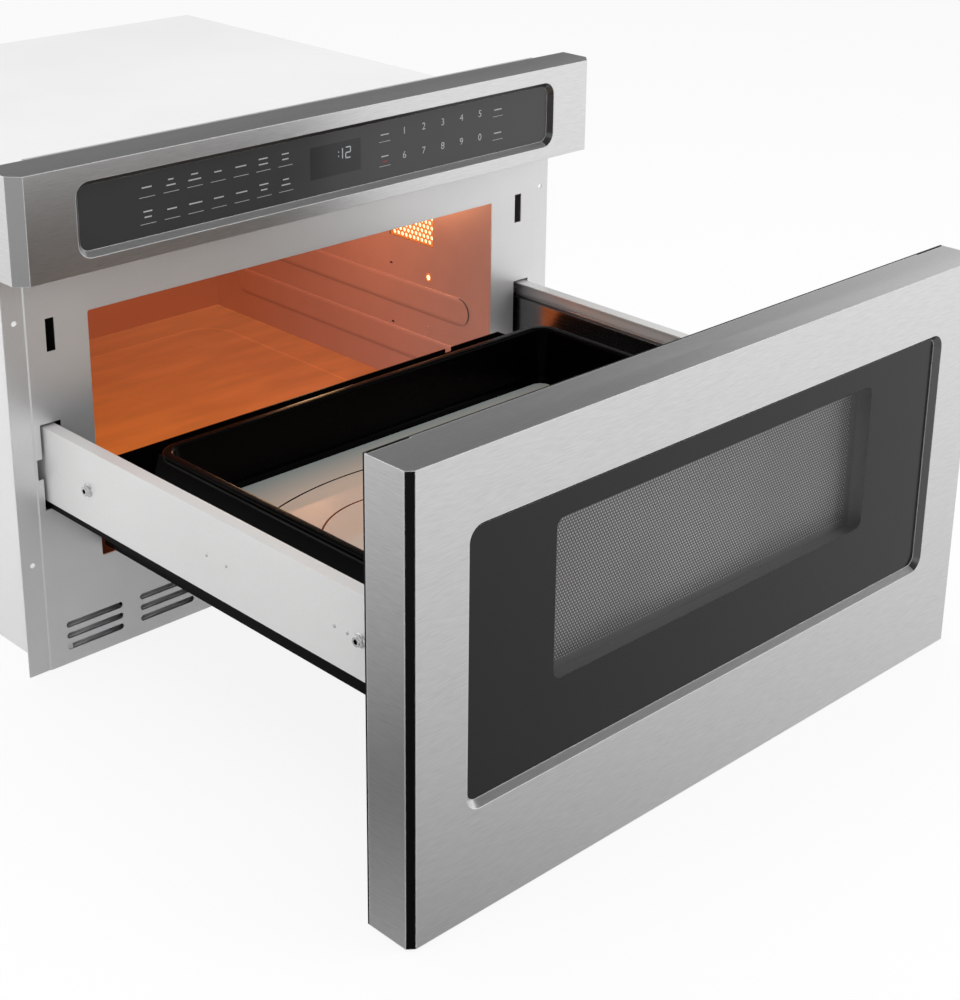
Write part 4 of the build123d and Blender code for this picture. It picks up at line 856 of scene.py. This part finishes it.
def basin():
    # a profile of (inset, height) carried round the tray's outline: rolled rim, sloping wall, rounded foot
    look = basinLook
    lowest, highest = (np.array(corner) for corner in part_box("tray_basin"))
    rim, r, hem, draft, foot, floorIn, floorUnder, corner, least = metres(look[k + "Mm"] for k in (
        "rim", "rimRadius", "hem", "draft", "footRadius", "floorIn", "floorUnder", "corner", "leastCorner"))
    top, floor = highest[2], highCorner("ceramic_floor").z - floorUnder
    rimTurn, footTurn = (np.linspace(0, pi / 2, look[k]) for k in ("rimSteps", "footSteps"))
    profile = [(0.0, top - hem)]
    profile += [(r - r * cos(t), top - r + r * sin(t)) for t in rimTurn]
    profile += [(rim - r + r * sin(t), top - r + r * cos(t)) for t in rimTurn]
    profile += [(rim + draft + foot * (1 - cos(t)), floor + foot * (1 - sin(t))) for t in footTurn]
    profile += [(rim + draft + floorIn, floor)]
    halfX, halfY = ((highest - lowest) / 2)[:2]
    middle = ((lowest + highest) / 2)[:2]
    loops = []
    for inset, z in profile:
        flat = roundedLoop(halfX - inset, halfY - inset, max(corner - inset, least), look["cornerSteps"])
        loops.append(np.insert(flat + middle, 2, z, axis=-1))
    grid = np.stack(loops)
    rows, columns = grid.shape[:2]
    faces = gridFaces(rows, columns, closed=True).tolist()
    faces.append(list(range((rows - 1) * columns, rows * columns)))
    piece = newPiece("trayBasinEnamelled", grid.reshape(-1, 3), faces, blackEnamel, "drawer",
                     True)
    wall = piece.modifiers.new("wall", "SOLIDIFY")
    wall.thickness = look["wallMm"] / 1000
    wall.offset = -1
    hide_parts("tray_basin")


basin()
print("tray done")


screwLook = {
    "acrossMm": 7.6, "flangeMm": 11.0, "heightMm": 4.2, "socketMm": 3.8, "socketDeepMm": 1.8,
    "flangeEdgeMm": (0.6, 1.2), "flangeTop": 0.86, "hexagonFromMm": 1.3, "bevelMm": 0.5, "bevelTop": 0.92,
    "socketFloor": 0.94, "socketCentre": 0.02, "behindPanelMm": (-14.0, -330.0), "upMm": 177.5, "steps": 48,
    "rivetsMm": (-478.0, -501.0, -619.0, -632.0), "rivetMm": 3.2, "rivetRiseMm": 0.5, "rivetLiftMm": 0.02,
    "rivetSteps": 20, "rivetRings": 5, "rivetPole": 0.03,
}
screwSteel = grainedMaterial("zincPlatedScrew", {
    "dark": "#d0d2d4", "light": "#f0f0f0", "grainMm": 0.6, "rough": (0.18, 0.28), "bumpMm": 0.01,
    "edgeMm": 0.3, "fixed": {"Metallic": 0.8}})
# the sockets are painted near black: a painted shade in the recess
socketShade = grainedMaterial("socketPaintedShade", {
    "dark": "#080808", "light": "#101010", "grainMm": 0.5, "rough": (0.4, 0.5), "bumpMm": 0.005,
    "fixed": {"Metallic": 0.5}})


def railSpots(ys):
    # places on the outer faces of the two rails
    faces = (-1, lowCorner("rail_left").x), (1, highCorner("rail_right").x)
    return [(side, np.array([x, y, screwLook["upMm"] / 1000])) for side, x in faces for y in ys]


def railScrews():
    # a turned profile: flange, hexagon and a socket, where the hexagon's radius follows the angle round it;
    # flangeTop, bevelTop, socketFloor and socketCentre are shares of the radius that they narrow
    look = screwLook
    turn = roundTurn(look["steps"])
    tall, socket = look["heightMm"], look["socketMm"] / 2
    flange, across = look["flangeMm"] / 2, look["acrossMm"] / 2
    floor = tall - look["socketDeepMm"]
    low, high = look["flangeEdgeMm"]
    hexagon = across * hexagonReach(turn)
    profile = [(0.0, flange), (low, flange), (high, flange * look["flangeTop"]),
               (look["hexagonFromMm"], hexagon), (tall - look["bevelMm"], hexagon),
               (tall, across * look["bevelTop"]), (tall, socket), (floor, socket * look["socketFloor"]),
               (floor, socket * look["socketCentre"])]
    panelFront = lowCorner("control_fascia").y
    spots = railSpots([panelFront + y for y in metres(look["behindPanelMm"])])
    piece = turnedPiece("railScrewHeads", spots, profile, turn, screwSteel, "drawer", False)
    piece.data.materials.append(socketShade)
    # the last two rows of quads of each head are its socket, which takes the painted shade
    row = np.arange(len(piece.data.polygons)) // len(turn) % (len(profile) - 1)
    piece.data.polygons.foreach_set("material_index", (row >= len(profile) - 3).astype(int))
    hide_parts("rail_screws")


def railRivets():
    # shallow rivet heads along the rails: at angle a the rise is h * cos(a) and the radius r * sin(a)
    look = screwLook
    profile = [(look["rivetRiseMm"] * cos(a) + look["rivetLiftMm"], look["rivetMm"] / 2 * sin(a))
               for a in np.linspace(pi / 2, look["rivetPole"], look["rivetRings"])]
    turnedPiece("railDimples", railSpots(metres(look["rivetsMm"])), profile, roundTurn(look["rivetSteps"]),
                screwSteel, "drawer")


railScrews()
railRivets()
print("screws done")


stageLook = {"halfM": 9.0, "shadeAt": (-0.45, -0.58, 0.0), "shadeDeep": 0.85, "shadeFallM": 0.8, "seen": 0.88,
             "fixed": {"Base Color": (0.9, 0.9, 0.9, 1), "Roughness": 0.9}}


def stageFloor():
    # a plain pale sheet that looks white in the picture and still takes a soft shadow. In reflections its
    # brightness at distance d from the object's dim left side is 1 - deep * exp(-d / fall).
    look, half = stageLook, stageLook["halfM"]
    mesh = bpy.data.meshes.new("studioFloor")
    mesh.from_pydata([(-half, -half, 0), (half, -half, 0), (half, half, 0), (-half, half, 0)], [],
                     [(0, 1, 2, 3)])
    material, add, shader, place = startMaterial("studioFloorPaint", look)
    rays = add("LightPath")
    away = add("VectorMath DISTANCE", {1: look["shadeAt"]}, {0: place})
    power = add("Math MULTIPLY", {1: -1 / look["shadeFallM"]}, {0: away})
    fall = add("Math EXPONENT", links={0: power})
    dim = add("Math MULTIPLY_ADD", {1: -look["shadeDeep"], 2: 1.0}, {0: fall})
    mirrored = add("Emission", {"Strength": 1.0}, {"Color": dim})
    glow = add("Emission", {"Strength": 1.0})
    share = add("Math MULTIPLY", {1: look["seen"]}, {0: rays.outputs["Is Camera Ray"]})
    direct = add("MixShader", links={0: share, 1: shader, 2: glow})
    mixed = add("MixShader", links={0: rays.outputs["Is Glossy Ray"], 1: direct, 2: mirrored})
    connect(shader.id_data.nodes["Material Output"], {"Surface": mixed})
    mesh.materials.append(material)
    addObject("studioFloor", mesh)


worldLook = {"towards": (0.6, -0.8, 0.0), "dim": 0.2, "bright": 1.0, "fill": 0.55, "patches": (
    {"turn": (-0.10, 0.12), "height": (0.28, 0.50), "bright": 1.0},
    {"turn": (-0.5, -0.85), "height": (0.55, 0.85), "bright": 0.9},
)}


def studioWorld():
    # white to the camera and an even fill; in reflections a bright band near the horizon on the front right,
    # and a glow behind on the left
    look = worldLook
    world = bpy.data.worlds.new("studio")
    bpy.context.scene.world = world
    world.use_nodes = True
    tree = world.node_tree
    add = partial(addNode, tree)
    place = add("TexCoord").outputs["Generated"]
    facing = add("VectorMath DOT_PRODUCT", {1: look["towards"]}, {0: place})
    up = add("SeparateXYZ", links={"Vector": place})
    glows = []
    for patch in look["patches"]:
        (near, far), (full, gone) = patch["turn"], patch["height"]
        side = add("MapRange", span(near, far, 0, patch["bright"]), {"Value": facing})
        level = add("MapRange", span(gone, full), {"Value": up.outputs["Z"]})
        glows.append(add("Math MULTIPLY", links={0: side, 1: level}))
    band = add("Math MAXIMUM", links={0: glows[0], 1: glows[1]})
    mirrored = add("MapRange", span(0, 1, look["dim"], look["bright"]), {"Value": band})
    rays = add("LightPath")
    diffuse = add("MixRGB", {"Color2": (look["fill"],) * 3 + (1,)},
                  {"Fac": rays.outputs["Is Diffuse Ray"], "Color1": mirrored})
    seen = add("MixRGB", {"Color2": white}, {"Fac": rays.outputs["Is Camera Ray"], "Color1": diffuse})
    connect(tree.nodes["Background"], {"Color": seen})


lampList = {
    "softboxTop": {"place": (0.2, -0.3, 2.3), "aim": (0, -0.2, 0.2), "sizeM": 2.2, "power": 27},
    "softboxFront": {"place": (1.6, -2.6, 1.1), "aim": (0, -0.5, 0.2), "sizeM": 1.6, "power": 26},
    "softboxLeft": {"place": (-2.4, -0.4, 1.2), "aim": (0, -0.4, 0.2), "sizeM": 1.4, "power": 16},
}


def studioLamps():
    # white softboxes that look along their own -z axis at the aim, and that no reflection shows
    for name, look in lampList.items():
        lamp = bpy.data.lights.new(name, "AREA")
        lamp.shape = "RECTANGLE"
        lamp.size = lamp.size_y = look["sizeM"]
        lamp.energy = look["power"]
        holder = addObject(name, lamp)
        holder.location = look["place"]
        towards = Vector(look["aim"]) - Vector(look["place"])
        holder.rotation_euler = towards.to_track_quat("-Z", "Y").to_euler()
        holder.visible_glossy = False


ovenLampLook = {"placeMm": (120, -110, 262), "hex": "#ffcf98", "power": 0.42, "radiusMm": 30}


def ovenLamp():
    # the warm lamp of the cavity, just inside the grille
    lamp = bpy.data.lights.new("ovenLamp", "POINT")
    lamp.color = linear(ovenLampLook["hex"])[:3]
    lamp.energy = ovenLampLook["power"]
    lamp.shadow_soft_size = ovenLampLook["radiusMm"] / 1000
    addObject("ovenLamp", lamp).location = metres(ovenLampLook["placeMm"])


cameraLook = {"place": (-0.994, -1.503, 0.805), "turn": -44.22, "tilt": 20.70, "roll": 0.65, "lens": 70.3,
              "shiftY": -0.15, "sensorMm": 36.0, "nearM": 0.01}


def studioCamera():
    # turned about the upright, tilted down from level, and rolled about its own line of sight, in degrees
    look = cameraLook
    camera = bpy.data.cameras.new("studioCamera")
    camera.lens, camera.sensor_width = look["lens"], look["sensorMm"]
    camera.shift_y, camera.clip_start = look["shiftY"], look["nearM"]
    holder = addObject("studioCamera", camera)
    turned = Matrix.Rotation(radians(look["turn"]), 4, "Z")
    tilted = Matrix.Rotation(radians(90 - look["tilt"]), 4, "X")
    rolled = Matrix.Rotation(radians(look["roll"]), 4, "Z")
    holder.matrix_world = Matrix.Translation(look["place"]) @ turned @ tilted @ rolled
    bpy.context.scene.camera = holder


stageFloor()
studioWorld()
studioLamps()
ovenLamp()
studioCamera()
bpy.context.scene.view_settings.view_transform = "Standard"
print("stage done")
